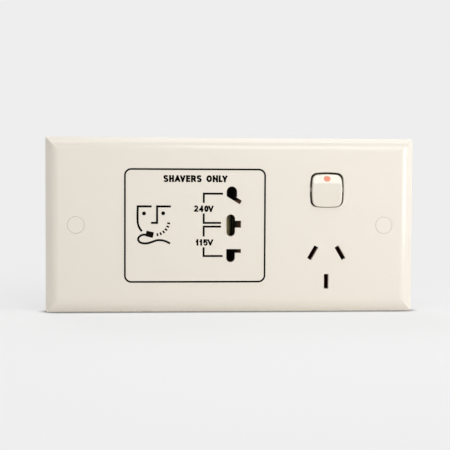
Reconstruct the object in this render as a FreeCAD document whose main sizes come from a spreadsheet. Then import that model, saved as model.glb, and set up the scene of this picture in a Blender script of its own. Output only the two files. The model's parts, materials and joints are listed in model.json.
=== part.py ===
import FreeCAD, Part
import math
import os
import re
import Sketcher

# Shaver socket with an isolating transformer, beside a switched three-pin outlet, on one wide wall plate.
# X runs right, Z runs up and the front faces -Y. The origin is the centre of the plate's back, on the wall.
# A height is always measured from the wall towards the viewer, so what lies in the wall has a negative one.

DIMENSIONS = {
    # Wall plate
    "plate_width": 182.0,
    "plate_height": 86.0,
    "plate_depth": 9.0,
    "bevel_width": 4.2,
    "bevel_drop": 3.0,
    "bevel_blend": 8.0,
    "corner_radius": 1.0,
    "skin": 2.5,
    "rim_wall": 2.2,
    "rim_step_height": 4.4,
    "rim_step_inset": 5.0,
    "rib_thickness": 1.2,
    "rib_foot": 2.0,
    "opening_edge": 0.3,
    # Wall screws and their caps
    "wall_screw_spacing": 152.4,
    "wall_screw_hole": 4.4,
    "wall_boss": 12.0,
    "cap_diameter": 8.2,
    "cap_thickness": 1.6,
    "cap_skirt": 1.0,
    "cap_length": 3.4,
    "cap_recess": 4.6,
    "cap_gap": 0.05,
    "cap_edge": 0.3,
    # Screws that hold the mechanisms to the plate
    "fixing_height": 37.2,
    "fixing_boss": 6.4,
    "fixing_foot": 1.5,
    "fixing_screw": 2.9,
    "fixing_head": 5.2,
    "fixing_head_height": 1.8,
    "fixing_bite": 4.0,
    "ear_width": 10.0,
    "ear_thickness": 3.0,
    "thread_gap": 0.05,
    "hole_gap": 0.2,
    # Outlet slots
    "outlet_x": 47.5,
    "outlet_z": -17.65,
    "pin_radius": 7.92,
    "earth_drop": 10.31,
    "slot_length": 7.3,
    "slot_width": 2.2,
    "slot_corner": 0.3,
    "slot_angle": 60.0,
    # Rocker and its window
    "rocker_z": 17.55,
    "window_width": 16.9,
    "window_height": 17.4,
    "window_corner": 3.2,
    "bow": 0.6,
    "rocker_side_gap": 0.9,
    "rocker_end_gap": 0.65,
    "rocker_corner": 2.8,
    "rocker_edge": 0.6,
    "rocker_wall": 1.6,
    "rocker_crown": 3.0,
    "rocker_skirt": 1.0,
    "rocker_tilt": 5.0,
    "rocker_front": 5.2,
    "ridge_rise": 3.65,
    "upper_lean": 21.0,
    "pivot_height": 5.0,
    "trunnion_diameter": 2.6,
    "trunnion_length": 1.5,
    "running_gap": 0.05,
    "indicator_length": 3.2,
    "indicator_width": 2.4,
    "indicator_rise": 5.9,
    "indicator_depth": 1.0,
    "indicator_proud": 0.15,
    # Plunger and see-saw contact
    "stem_diameter": 6.4,
    "stem_length": 6.0,
    "stem_bore_depth": 2.0,
    "plunger_diameter": 4.0,
    "plunger_nose": 3.0,
    "plunger_guide": 5.5,
    "plunger_back": 3.0,
    "plunger_gap": 0.06,
    "spring_wire": 0.4,
    "spring_turns": 5.0,
    "fulcrum_depth": 8.0,
    "fulcrum_diameter": 1.6,
    "blade_thickness": 1.2,
    "saddle_wall": 0.8,
    "seesaw_width": 6.0,
    "seesaw_length": 18.0,
    "seesaw_tilt": 7.0,
    "tip_diameter": 3.0,
    "tip_thickness": 0.8,
    "tip_rise": 8.2,
    "fixed_tip_thickness": 0.35,
    # Outlet mechanism
    "mechanism_width": 44.0,
    "mechanism_height": 68.0,
    "mechanism_depth": 20.0,
    "well_gap": 0.4,
    "well_length": 18.8,
    "well_floor": 2.4,
    "chamber_width": 8.8,
    "chamber_length": 20.0,
    "strip_depth": 10.4,
    "strip_thickness": 0.8,
    "strip_gap": 0.3,
    "strip_width": 5.0,
    "strip_overhang": 6.5,
    "link_leg_x": 16.5,
    "link_width": 4.0,
    "clip_width": 6.4,
    "clip_setback": 2.0,
    "clip_lip": 2.0,
    "clip_pinch": 0.75,
    "clip_pinch_depth": 6.0,
    "clip_root": 1.5,
    "clip_root_depth": 11.5,
    "clip_pocket": 6.6,
    "block_size": 8.0,
    "block_back": 19.4,
    "block_gap": 0.15,
    "line_block_x": 15.0,
    "wire_tunnel": 4.5,
    "wire_tunnel_depth": 15.0,
    "wire_entry": 5.5,
    "terminal_screw": 3.5,
    "terminal_screw_gap": 0.15,
    "terminal_screw_head": 4.6,
    "terminal_head_height": 1.4,
    "mechanism_corner": 2.0,
    "cover_thickness": 2.5,
    "cover_edge": 1.0,
    "cover_screw_bite": 6.0,
    "cover_screw_x": 16.5,
    "cover_screw_low": -25.0,
    "cover_screw_high": 3.0,
    # Shaver apertures
    "shaver_x": -0.27,
    "aperture_width": 4.3,
    "top_disc": 5.2,
    "top_x": 0.25,
    "top_z": 16.5,
    "top_left_shoulder": 14.25,
    "top_right_shoulder": 13.9,
    "slant_length": 7.6,
    "slant_width": 2.1,
    "slant_corner": 0.5,
    "slant_x": 1.5,
    "slant_z": 13.14,
    "slant_angle": 31.6,
    "middle_z": -0.1,
    "middle_height": 10.8,
    "middle_stub_z": 0.48,
    "middle_stub_height": 3.45,
    "stub_end": 4.85,
    "bottom_top": -11.8,
    "bottom_end": -18.3,
    "bottom_stub_height": 1.93,
    # Shaver contacts and their moulding
    "contact_block_x": 2.0,
    "contact_block_width": 22.0,
    "contact_block_top": 22.0,
    "contact_block_bottom": -23.4,
    "contact_block_depth": 12.0,
    "contact_cell_width": 10.4,
    "contact_cell_x": 1.2,
    "contact_cell_gap": 0.2,
    "contact_floor": 9.5,
    "contact_thickness": 0.5,
    "contact_setback": 1.3,
    "outer_contact_setback": 3.2,
    "contact_flare_left": 2.85,
    "contact_flare_right": 5.65,
    "contact_pinch_left": 0.35,
    "contact_pinch_right": 1.75,
    "contact_pinch_depth": 5.7,
    "contact_root_left": 0.95,
    "contact_root_right": 2.1,
    "contact_root_depth": 11.5,
    "contact_240v_z": 15.7,
    "contact_240v_length": 7.0,
    "contact_common_length": 10.2,
    "contact_115v_length": 6.5,
    "tab_width": 3.0,
    "tab_length": 6.0,
    "block_ear_width": 8.0,
    "block_ear_reach": 7.0,
    # Transformer
    "contact_bay": 33.3,
    "core_gap": 4.8,
    "core_limb": 9.5,
    "core_depth": 12.0,
    "core_post": 9.8,
    "core_screw": 3.4,
    "core_screw_head": 6.2,
    "core_screw_head_height": 2.2,
    "core_screw_bite": 7.0,
    "bobbin_wall": 1.0,
    "bobbin_flange": 1.2,
    "bobbin_gap": 0.2,
    "flange_gap": 0.5,
    "flange_reach": 9.0,
    "winding_inset": 1.9,
    "winding_corner": 5.0,
    "tape_thickness": 0.5,
    "tape_gap": 0.05,
    "cutout_length": 12.0,
    "cutout_width": 4.2,
    "cutout_thickness": 3.4,
    # Transformer case
    "case_width": 90.0,
    "case_gap": 4.5,
    "case_height": 66.0,
    "case_depth": 43.0,
    "case_wall": 2.2,
    "case_front_gap": 0.2,
    "case_corner": 4.0,
    "case_edge": 1.5,
    "case_post": 7.0,
    "case_screw_inset": 19.0,
    "vent_length": 24.0,
    "vent_width": 2.4,
    "vent_pitch": 6.0,
    "vent_count": 6.0,
    # Leads between the terminals, the transformer and the shaver contacts
    "lead_diameter": 1.2,
    "lead_bend": 1.5,
    "lead_gap": 0.4,
    "lead_depth": 17.5,
    "neutral_lead_z": -7.0,
    "lead_turn": 6.8,
    "lead_spread": 8.0,
}

doc = FreeCAD.newDocument("ShaverSocket")
sheet = doc.addObject("Spreadsheet::Sheet", "Sizes")
for row, (alias, value) in enumerate(DIMENSIONS.items(), start=1):
    sheet.set(f"A{row}", alias)
    sheet.set(f"B{row}", str(value))
    sheet.setAlias(f"B{row}", alias)
doc.recompute()

parts = []
cuts = []


def number(expression):
    """Value of an expression in the sheet's names."""
    return float(sheet.evalExpression(str(expression)))


def bind(target, field, expression):
    """Tie one property or constraint to an expression in the sheet's names."""

    def in_sheet(found):
        return f"Sizes.{found[0]}" if found[0] in DIMENSIONS else found[0]

    target.setExpression(field, re.sub(r"[a-z][a-z0-9_]*", in_sheet, str(expression)))


def new_body(label, place=None, axis=(1, 0, 0), angle="0"):
    """A body for one sub-part, set down at place (x, height, z) and turned about the axis."""
    body = doc.addObject("PartDesign::Body", label)
    body.Label = label
    if place:
        body.Placement = FreeCAD.Placement(FreeCAD.Vector(), FreeCAD.Rotation(FreeCAD.Vector(*axis), 1.0))
        bind(body, "Placement.Base.x", place[0])
        bind(body, "Placement.Base.y", f"-({place[1]})")
        bind(body, "Placement.Base.z", place[2])
        bind(body, "Placement.Rotation.Angle", angle)
    parts.append(body)
    return body


def place_sketch(body, draw, level, at=("0", "0"), angle="0", plane="XZ_Plane"):
    """Sketch on a plane of the body's own, moved to its level and place and turned by the angle.

    On XZ_Plane the level is a height, on YZ_Plane it is X and on XY_Plane it is Z.
    """
    sketch = body.newObject("Sketcher::SketchObject", f"{body.Name}_sketch")
    origin_plane = next(feature for feature in body.Origin.OriginFeatures if feature.Role == plane)
    sketch.AttachmentSupport = [(origin_plane, "")]
    sketch.MapMode = "FlatFace"
    bind(sketch, "AttachmentOffset.Base.x", at[0])
    bind(sketch, "AttachmentOffset.Base.y", at[1])
    bind(sketch, "AttachmentOffset.Base.z", level)
    bind(sketch, "AttachmentOffset.Rotation.Angle", angle)
    draw(sketch)
    sketch.Visibility = False
    return sketch


def add(body, draw, low, high, at=("0", "0"), angle="0", plane="XZ_Plane"):
    """Material with the drawn outline, from the low level to the high one."""
    feature = body.newObject("PartDesign::Pad", f"{body.Name}_pad")
    feature.Profile = place_sketch(body, draw, low, at, angle, plane)
    bind(feature, "Length", f"({high}) - ({low})")
    body.Tip = feature
    return feature


def cut(body, draw, low, high, at=("0", "0"), angle="0", plane="XZ_Plane"):
    """Opening with the drawn outline, from the high level down to the low one."""
    feature = body.newObject("PartDesign::Pocket", f"{body.Name}_pocket")
    feature.Profile = place_sketch(body, draw, high, at, angle, plane)
    bind(feature, "Length", f"({high}) - ({low})")
    body.Tip = feature
    cuts.append(feature)
    return feature


def edges_where(feature, test, along_depth=False):
    """Names of the feature's edges whose end points all pass the test, or only those that run along Y."""
    doc.recompute()
    names = []
    for index, edge in enumerate(feature.Shape.Edges, start=1):
        ends = [vertex.Point for vertex in edge.Vertexes]
        runs_along_depth = len(ends) == 2 and abs(ends[0].y - ends[1].y) > edge.Length / 2
        if ends and all(test(end) for end in ends) and (runs_along_depth or not along_depth):
            names.append(f"Edge{index}")
    return names


def round_edges(body, radius, test, along_depth=False):
    """Fillet on the edges of the body's last feature that pass the test."""
    base = body.Tip
    edges = edges_where(base, test, along_depth)
    feature = body.newObject("PartDesign::Fillet", f"{body.Name}_fillet")
    feature.Base = (base, edges)
    bind(feature, "Radius", radius)
    body.Tip = feature
    return feature


def near(value, expression):
    """Whether a coordinate lies at the expression's value."""
    return abs(value - number(expression)) < 1e-4


def constrain(sketch, kind, *values, to=None):
    """One constraint, tied to an expression where one is given."""
    if to is None:
        return sketch.addConstraint(Sketcher.Constraint(kind, *values))
    index = sketch.addConstraint(Sketcher.Constraint(kind, *values, number(to)))
    bind(sketch, f"Constraints[{index}]", to)
    return index


def line(start, end):
    return Part.LineSegment(FreeCAD.Vector(*start, 0), FreeCAD.Vector(*end, 0))


def arc(centre, radius, start, end):
    circle = Part.Circle(FreeCAD.Vector(*centre, 0), FreeCAD.Vector(0, 0, 1), radius)
    return Part.ArcOfCircle(circle, math.radians(start), math.radians(end))


def disc(diameter):
    """Round outline about the sketch's origin."""

    def draw(sketch):
        sketch.addGeometry(Part.Circle(FreeCAD.Vector(), FreeCAD.Vector(0, 0, 1), number(diameter) / 2))
        constrain(sketch, "Coincident", 0, 3, -1, 1)
        constrain(sketch, "Diameter", 0, to=diameter)

    return draw


def rect(width, height):
    """Rectangle about the sketch's origin."""

    def draw(sketch):
        w, t = number(width) / 2, number(height) / 2
        corners = [(-w, -t), (w, -t), (w, t), (-w, t)]
        for i in range(4):
            sketch.addGeometry(line(corners[i], corners[(i + 1) % 4]))
        for i in range(4):
            constrain(sketch, "Coincident", i, 2, (i + 1) % 4, 1)
            constrain(sketch, "Vertical" if i % 2 else "Horizontal", i)
        constrain(sketch, "Symmetric", 0, 1, 2, 1, -1, 1)
        constrain(sketch, "DistanceX", 0, 1, 0, 2, to=width)
        constrain(sketch, "DistanceY", 1, 1, 1, 2, to=height)

    return draw


def rounded(width, height, radius):
    """Rectangle with round corners about the sketch's origin."""

    def draw(sketch):
        r = number(radius)
        w, t = number(width) / 2 - r, number(height) / 2 - r
        sides = [
            ((-w, -t - r), (w, -t - r)),
            ((w + r, -t), (w + r, t)),
            ((w, t + r), (-w, t + r)),
            ((-w - r, t), (-w - r, -t)),
        ]
        centres = [(w, -t), (w, t), (-w, t), (-w, -t)]
        for i in range(4):
            sketch.addGeometry(line(*sides[i]))
            sketch.addGeometry(arc(centres[i], r, 90 * i - 90, 90 * i))
        for i in range(8):
            constrain(sketch, "Tangent", i, 2, (i + 1) % 8, 1)
        for i in range(4):
            constrain(sketch, "Vertical" if i % 2 else "Horizontal", 2 * i)
        for i in (3, 5, 7):
            constrain(sketch, "Equal", 1, i)
        constrain(sketch, "Radius", 1, to=radius)
        constrain(sketch, "Symmetric", 0, 1, 4, 1, -1, 1)
        constrain(sketch, "DistanceX", 6, 1, 2, 1, to=width)
        constrain(sketch, "DistanceY", 0, 1, 4, 1, to=height)

    return draw


def obround(length, width):
    """Slot with round ends, lying along the sketch's own X axis."""

    def draw(sketch):
        r = number(width) / 2
        a = number(length) / 2 - r
        sketch.addGeometry(line((-a, -r), (a, -r)))
        sketch.addGeometry(arc((a, 0), r, -90, 90))
        sketch.addGeometry(line((a, r), (-a, r)))
        sketch.addGeometry(arc((-a, 0), r, 90, 270))
        for i in range(4):
            constrain(sketch, "Tangent", i, 2, (i + 1) % 4, 1)
        constrain(sketch, "Horizontal", 0)
        constrain(sketch, "Equal", 1, 3)
        constrain(sketch, "Radius", 1, to=f"({width}) / 2")
        constrain(sketch, "Symmetric", 1, 3, 3, 3, -1, 1)
        constrain(sketch, "DistanceX", 3, 3, 1, 3, to=f"({length}) - ({width})")

    return draw


def bowed(width, height, rise):
    """Rectangle about the sketch's origin whose four sides bow outwards by the rise."""

    def radius_over(chord):
        return f"(({chord}) * ({chord}) / 4 + ({rise}) * ({rise})) / 2 / ({rise})"

    def draw(sketch):
        w, t = number(width) / 2, number(height) / 2
        b = number(rise)
        corners = [(b - w, b - t), (w - b, b - t), (w - b, t - b), (b - w, t - b)]
        middles = [(0, -t), (w, 0), (0, t), (-w, 0)]
        for i in range(4):
            points = (corners[i], middles[i], corners[(i + 1) % 4])
            sketch.addGeometry(Part.Arc(*(FreeCAD.Vector(*point, 0) for point in points)))
        for i in range(4):
            constrain(sketch, "Coincident", i, 2, (i + 1) % 4, 1)
        constrain(sketch, "Symmetric", 0, 1, 2, 1, -1, 1)
        constrain(sketch, "Horizontal", 0, 1, 0, 2)
        constrain(sketch, "Vertical", 1, 1, 1, 2)
        constrain(sketch, "DistanceX", 0, 1, 0, 2, to=f"({width}) - 2 * ({rise})")
        constrain(sketch, "DistanceY", 1, 1, 1, 2, to=f"({height}) - 2 * ({rise})")
        constrain(sketch, "Radius", 0, to=radius_over(f"({width}) - 2 * ({rise})"))
        constrain(sketch, "Radius", 1, to=radius_over(f"({height}) - 2 * ({rise})"))
        constrain(sketch, "Equal", 0, 2)
        constrain(sketch, "Equal", 1, 3)

    return draw


def polygon(*points):
    """Closed outline through points that are each given as a pair of expressions."""

    def draw(sketch):
        places = [(number(x), number(y)) for x, y in points]
        count = len(points)
        for i in range(count):
            sketch.addGeometry(line(places[i], places[(i + 1) % count]))
        for i in range(count):
            constrain(sketch, "Coincident", i, 2, (i + 1) % count, 1)
        for i, (x, y) in enumerate(points):
            constrain(sketch, "DistanceX", -1, 1, i, 1, to=x)
            constrain(sketch, "DistanceY", -1, 1, i, 1, to=y)

    return draw


def add_feature(label, shape, placement=None):
    """A sub-part whose shape is worked out in code from the sheet's sizes."""
    feature = doc.addObject("Part::Feature", label)
    feature.Label = label
    feature.Shape = shape
    if placement:
        feature.Placement = placement
    parts.append(feature)
    return feature


def at_height(x, height, z, axis=(1, 0, 0), angle=0.0):
    """Placement at x, height and z, turned about the axis."""
    rotation = FreeCAD.Rotation(FreeCAD.Vector(*axis), angle)
    return FreeCAD.Placement(FreeCAD.Vector(number(x), -number(height), number(z)), rotation)


def folded_strip(points, thickness, width):
    """Strip bent along points of (across, height), with round edges, its width centred on the local Z axis."""
    path = Part.makePolygon([FreeCAD.Vector(across, -height, -width / 2) for across, height in points])
    outline = path.makeOffset2D(thickness / 2, 0, False, False)
    return Part.Face(outline).extrude(FreeCAD.Vector(0, 0, width))


def slotted_screw(shank, length, head, head_height):
    """Screw whose head's underside is at the origin and whose shank points along +Z."""
    shank, length, head, head_height = (number(size) for size in (shank, length, head, head_height))
    slot_width = head / 6
    slot_depth = head_height / 2
    bevel = head_height / 4
    tip = shank / 6
    top = Part.makeCylinder(head / 2, head_height - bevel, FreeCAD.Vector(0, 0, bevel - head_height))
    crown = Part.makeCone(head / 2 - bevel, head / 2, bevel, FreeCAD.Vector(0, 0, -head_height))
    slot = Part.makeBox(head, slot_width, slot_depth, FreeCAD.Vector(-head / 2, -slot_width / 2, -head_height))
    body = Part.makeCylinder(shank / 2, length - tip)
    point = Part.makeCone(shank / 2, shank / 2 - tip, tip, FreeCAD.Vector(0, 0, length - tip))
    return top.fuse(crown).cut(slot).fuse([body, point]).removeSplitter()


def screws(label, screw, places, forward=True):
    """Group of like screws, each at x, height and z, driven towards the viewer or away."""
    turn = 90.0 if forward else -90.0
    copies = []
    for place in places:
        copy = screw.copy()
        copy.Placement = at_height(*place, (1, 0, 0), turn)
        copies.append(copy)
    add_feature(label, Part.makeCompound(copies))


SIDES = ["-1", "1"]
SKIN_BACK = "plate_depth - skin"
EAR_END = "fixing_height + fixing_boss / 2"
EAR_BACK = "fixing_foot - ear_thickness"

# Rocker about its pivot. The part rests switched on, with the rocker's lower end pressed in
ROCKER_PLACE = ("outlet_x", "pivot_height", "rocker_z")
ROCKER_WIDTH = "(window_width - 2 * rocker_side_gap)"
ROCKER_LENGTH = "(window_height - 2 * rocker_end_gap)"
FACET_BASE = "rocker_front / cos(rocker_tilt * 1 deg)"
RIDGE = f"({FACET_BASE} - ridge_rise * tan(rocker_tilt * 1 deg))"
INDICATOR_FACET = f"({RIDGE} - (indicator_rise - ridge_rise) * tan(upper_lean * 1 deg))"
SADDLE = "(fulcrum_diameter + 2 * running_gap + 2 * saddle_wall)"
PLUNGER_REACH = f"(pivot_height + fulcrum_depth - {SADDLE} / 2 - plunger_gap)"
SEESAW_PLACE = ("outlet_x", "-fulcrum_depth", "rocker_z")

# Planes in the outlet mechanism
OUTLET_BACK = "-mechanism_depth"
STRIP_FRONT = "-strip_depth"
STRIP_BACK = "-(strip_depth + strip_thickness)"
LINE_BLOCK_X = "(outlet_x + line_block_x)"

# Planes in the transformer and its case
CASE_RIGHT = "(outlet_x - mechanism_width / 2 - case_gap)"
CASE_LEFT = f"({CASE_RIGHT} - case_width)"
CASE_X = f"({CASE_RIGHT} - case_width / 2)"
CASE_BACK = "-case_depth"
CASE_INNER_BACK = "-(case_depth - case_wall)"
CASE_FRONT = "plate_depth - skin - case_front_gap"
CASE_SCREWS = [f"({CASE_LEFT} + case_screw_inset)", f"({CASE_RIGHT} - case_screw_inset)"]
CORE_STACK = "(case_depth - case_wall - core_post - core_depth)"
CORE_BACK = f"-(core_depth + {CORE_STACK})"
CORE_MIDDLE = f"(core_depth + {CORE_STACK} / 2)"
CORE_LENGTH = "(6 * core_limb)"
CORE_RIGHT = f"({CASE_RIGHT} - case_wall - contact_bay)"
CORE_LEFT = f"({CASE_LEFT} + case_wall + core_gap)"
WINDOW_RIGHT = f"({CORE_RIGHT} - core_limb)"
WINDOW_LEFT = f"({CORE_LEFT} + core_limb)"
CORE_HOLE_Z = f"({CORE_LENGTH} / 2 - core_limb / 2)"

# Half sizes of the bobbin's flanges, the windings and their tape, along Y and along Z
FLANGE = (f"({CORE_STACK} / 2 + flange_reach)", "(2 * core_limb - flange_gap)")
WINDING = tuple(f"({half} - winding_inset)" for half in FLANGE)
TAPE_BORE = tuple(f"({half} + tape_gap)" for half in WINDING)
TAPE = tuple(f"({half} + tape_thickness)" for half in TAPE_BORE)
BOBBIN_LEFT = f"({WINDOW_LEFT} + bobbin_gap)"
BOBBIN_RIGHT = f"({WINDOW_RIGHT} - bobbin_gap)"
BOBBIN_MIDDLE = f"(({BOBBIN_LEFT} + {BOBBIN_RIGHT}) / 2)"
BAYS = {
    "primary": (f"({BOBBIN_LEFT} + bobbin_flange)", f"({BOBBIN_MIDDLE} - bobbin_flange / 2)"),
    "secondary": (f"({BOBBIN_MIDDLE} + bobbin_flange / 2)", f"({BOBBIN_RIGHT} - bobbin_flange)"),
}
BLOCK_SCREWS = ["contact_block_top + block_ear_reach / 2", "contact_block_bottom - block_ear_reach / 2"]

# Slots of the outlet: name, place and the angle of the slot's long side
PIN_SLOTS = {
    "active": (("outlet_x - pin_radius * cos(30 deg)", "outlet_z + pin_radius / 2"), "slot_angle"),
    "neutral": (("outlet_x + pin_radius * cos(30 deg)", "outlet_z + pin_radius / 2"), "180 - slot_angle"),
    "earth": (("outlet_x", "outlet_z - earth_drop"), "90"),
}

# Terminal blocks: place, height of the front face and the plane that the wire's tunnel crosses
TERMINALS = {
    "line": ((LINE_BLOCK_X, "rocker_z"), STRIP_BACK, "YZ_Plane"),
    "neutral": (PIN_SLOTS["neutral"][0], STRIP_FRONT, "YZ_Plane"),
    "earth": (PIN_SLOTS["earth"][0], STRIP_FRONT, "XY_Plane"),
}

COVER_SCREWS = [
    ("outlet_x - cover_screw_x", "cover_screw_low"),
    ("outlet_x + cover_screw_x", "cover_screw_high"),
]

# Shaver contacts: middle and length along Z, and how far the lips lie behind the plate's skin
SHAVER_CONTACTS = {
    "contact_240v": ("contact_240v_z", "contact_240v_length", "outer_contact_setback"),
    "contact_common": ("middle_z", "contact_common_length", "contact_setback"),
    "contact_115v": ("(bottom_top + bottom_end) / 2", "contact_115v_length", "outer_contact_setback"),
}
TAB_X = "(shaver_x + (contact_root_right - contact_root_left) / 2)"

# Leads: insulated wires that touch a terminal or a tab with one end and a winding's tape with the other
LEAD_WAY = "(lead_diameter + 2 * lead_gap)"
LEAD_LEVEL = "-lead_depth"
LEAD_TURN_X = f"({CASE_RIGHT} - case_wall - lead_turn)"
LEAD_BACK = f"({CORE_BACK} - {LEAD_WAY} / 2)"
LEAD_FRONT = f"({FLANGE[0]} - {CORE_MIDDLE} + {LEAD_WAY} / 2)"
LEAD_SIDE = f"({FLANGE[1]} + bobbin_gap + lead_diameter / 2)"
LEAD_TAB_LEVEL = "-(contact_block_depth + 3 * lead_diameter / 2)"
LEAD_DROP_X = f"(({CORE_RIGHT} + contact_block_x - contact_block_width / 2) / 2)"
PRIMARY_X = f"(({BAYS['primary'][0]} + {BAYS['primary'][1]}) / 2)"
SECONDARY_X = f"(({BAYS['secondary'][0]} + {BAYS['secondary'][1]}) / 2)"


def cut_apertures(body):
    """Three shaver apertures: a round one with a slanted slot, a tall one and a short one, both with a stub."""
    bore = "aperture_width / 2"
    stub_width = "stub_end - shaver_x"
    stub_x = "(stub_end + shaver_x) / 2"
    cut(body, disc("top_disc"), "0", "plate_depth", ("top_x", "top_z"))
    shoulders = polygon(
        ("-top_disc / 2", "top_z"),
        ("-top_disc / 2", "top_left_shoulder"),
        ("top_disc / 2", "top_right_shoulder"),
        ("top_disc / 2", "top_z"),
    )
    cut(body, shoulders, "0", "plate_depth", ("top_x", "0"))
    slant = rounded("slant_length", "slant_width", "slant_corner")
    cut(body, slant, "0", "plate_depth", ("slant_x", "slant_z"), "-slant_angle")
    cut(body, obround("middle_height", "aperture_width"), "0", "plate_depth", ("shaver_x", "middle_z"), "90")
    cut(body, rect(stub_width, "middle_stub_height"), "0", "plate_depth", (stub_x, "middle_stub_z"))
    round_end = f"bottom_end + {bore}"
    cut(body, disc("aperture_width"), "0", "plate_depth", ("shaver_x", round_end))
    body_height = f"bottom_top - ({round_end})"
    cut(body, rect("aperture_width", body_height), "0", "plate_depth", ("shaver_x", f"(bottom_top + {round_end}) / 2"))
    cut(
        body,
        rect(stub_width, "bottom_stub_height"),
        "0",
        "plate_depth",
        (stub_x, "bottom_top - bottom_stub_height / 2"),
    )


def make_face_plate():
    """Moulded plate: bevelled front, hollow back, bosses, window, slots and apertures."""
    body = new_body("face_plate")
    slab = add(body, rect("plate_width", "plate_height"), "0", "plate_depth")
    bevel = body.newObject("PartDesign::Chamfer", "bevel")
    bevel.Base = (slab, edges_where(slab, lambda p: near(p.y, "-plate_depth")))
    bevel.ChamferType = "Two distances"
    bind(bevel, "Size", "bevel_drop")
    bind(bevel, "Size2", "bevel_width")
    body.Tip = bevel
    round_edges(body, "bevel_blend", lambda p: near(p.y, "-plate_depth"))
    round_edges(
        body,
        "corner_radius",
        lambda p: near(abs(p.x), "plate_width / 2") and near(abs(p.z), "plate_height / 2"),
        along_depth=True,
    )
    for inset, top in (("rim_wall", "rim_step_height"), ("rim_step_inset", SKIN_BACK)):
        cut(body, rect(f"plate_width - 2 * {inset}", f"plate_height - 2 * {inset}"), "0", top)
    between = f"({CASE_RIGHT} + case_gap / 2)"
    inner_height = "plate_height - 2 * rim_step_inset"
    for x in ("-wall_screw_spacing / 2", between, "wall_screw_spacing / 2"):
        add(body, rect("rib_thickness", inner_height), "rib_foot", SKIN_BACK, (x, "0"))
    for side in SIDES:
        reach = "(plate_width / 2 - rim_step_inset - wall_screw_spacing / 2)"
        middle = f"{side} * (wall_screw_spacing / 2 + {reach} / 2)"
        add(body, rect(reach, "rib_thickness"), "rib_foot", SKIN_BACK, (middle, "0"))
        place = (f"{side} * wall_screw_spacing / 2", "0")
        add(body, disc("wall_boss"), "0", SKIN_BACK, place)
        cut(body, disc("wall_screw_hole"), "0", "plate_depth", place)
        cut(body, disc("cap_diameter + 2 * cap_gap"), "plate_depth - cap_recess", "plate_depth", place)
        for x in CASE_SCREWS + ["outlet_x"]:
            place = (x, f"{side} * fixing_height")
            add(body, disc("fixing_boss"), "fixing_foot", SKIN_BACK, place)
            cut(body, disc("fixing_screw + 2 * thread_gap"), "fixing_foot", SKIN_BACK, place)
    for z in BLOCK_SCREWS:
        add(body, disc("fixing_boss"), "fixing_foot", SKIN_BACK, ("contact_block_x", z))
        cut(body, disc("fixing_screw + 2 * thread_gap"), "fixing_foot", SKIN_BACK, ("contact_block_x", z))
    cut(body, bowed("window_width", "window_height", "bow"), "0", "plate_depth", ("outlet_x", "rocker_z"))
    round_edges(
        body,
        "window_corner",
        lambda p: near(abs(p.x - number("outlet_x")), "window_width / 2 - bow")
        and near(abs(p.z - number("rocker_z")), "window_height / 2 - bow"),
        along_depth=True,
    )
    for place, angle in PIN_SLOTS.values():
        cut(body, rounded("slot_length", "slot_width", "slot_corner"), "0", "plate_depth", place, angle)
    cut_apertures(body)

    def on_front_opening(p):
        in_window = abs(p.x - number("outlet_x")) < number("window_width") and abs(p.z) < number("plate_height / 3")
        in_cap = abs(abs(p.x) - number("wall_screw_spacing / 2")) < number("cap_diameter")
        return near(p.y, "-plate_depth") and (in_window or in_cap)

    round_edges(body, "opening_edge", on_front_opening)


def make_caps():
    """Round caps pushed into the recesses over the wall screws."""
    for name, side in (("left", "-1"), ("right", "1")):
        body = new_body(f"screw_cap_{name}", (f"{side} * wall_screw_spacing / 2", "0", "0"))
        add(body, disc("cap_diameter"), "plate_depth - cap_length", "plate_depth")
        cut(
            body,
            disc("cap_diameter - 2 * cap_skirt"),
            "plate_depth - cap_length",
            "plate_depth - cap_thickness",
        )
        round_edges(body, "cap_edge", lambda p: near(p.y, "-plate_depth"))


def make_rocker():
    """Rocker button: two facets that meet in a ridge, hollow skirt, stem and trunnions."""
    body = new_body("rocker", ROCKER_PLACE, (1, 0, 0), "rocker_tilt")
    end = f"({ROCKER_LENGTH} / 2 + bow)"
    low_edge = f"({FACET_BASE} + {end} * tan(rocker_tilt * 1 deg))"
    high_edge = f"({RIDGE} - ({end} - ridge_rise) * tan(upper_lean * 1 deg))"
    blank_front = f"{low_edge} + bow"
    add(body, bowed(ROCKER_WIDTH, ROCKER_LENGTH, "bow"), "-rocker_skirt", blank_front)
    round_edges(
        body,
        "rocker_corner",
        lambda p: near(abs(p.x), f"{ROCKER_WIDTH} / 2 - bow") and near(abs(p.z), f"{ROCKER_LENGTH} / 2 - bow"),
        along_depth=True,
    )
    facets = polygon(
        (f"-{low_edge}", f"-{end}"),
        (f"-{RIDGE}", "ridge_rise"),
        (f"-{high_edge}", end),
        (f"-({blank_front} + bow)", end),
        (f"-({blank_front} + bow)", f"-{end}"),
    )
    cut(body, facets, f"-{ROCKER_WIDTH}", ROCKER_WIDTH, plane="YZ_Plane")
    round_edges(body, "rocker_edge", lambda p: -p.y > number(high_edge) - number("running_gap"))
    hollow_size = (f"{ROCKER_WIDTH} - 2 * rocker_wall", f"{ROCKER_LENGTH} - 2 * rocker_wall")
    hollow = rounded(*hollow_size, "rocker_corner - rocker_wall")
    cut(body, hollow, "-rocker_skirt", "rocker_front - rocker_crown")
    add(body, disc("stem_diameter"), "-stem_length", "rocker_front - rocker_crown")
    cut(body, disc("plunger_diameter + 2 * running_gap"), "-stem_length", "stem_bore_depth")
    inner = f"({ROCKER_WIDTH} / 2 - rocker_wall)"
    reach = f"({ROCKER_WIDTH} / 2 + trunnion_length)"
    add(body, disc("trunnion_diameter"), inner, reach, plane="YZ_Plane")
    add(body, disc("trunnion_diameter"), f"-{reach}", f"-{inner}", plane="YZ_Plane")
    recess = obround("indicator_length + 2 * thread_gap", "indicator_width + 2 * thread_gap")
    cut(body, recess, f"{INDICATOR_FACET} - indicator_depth", blank_front, ("0", "indicator_rise"))


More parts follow.
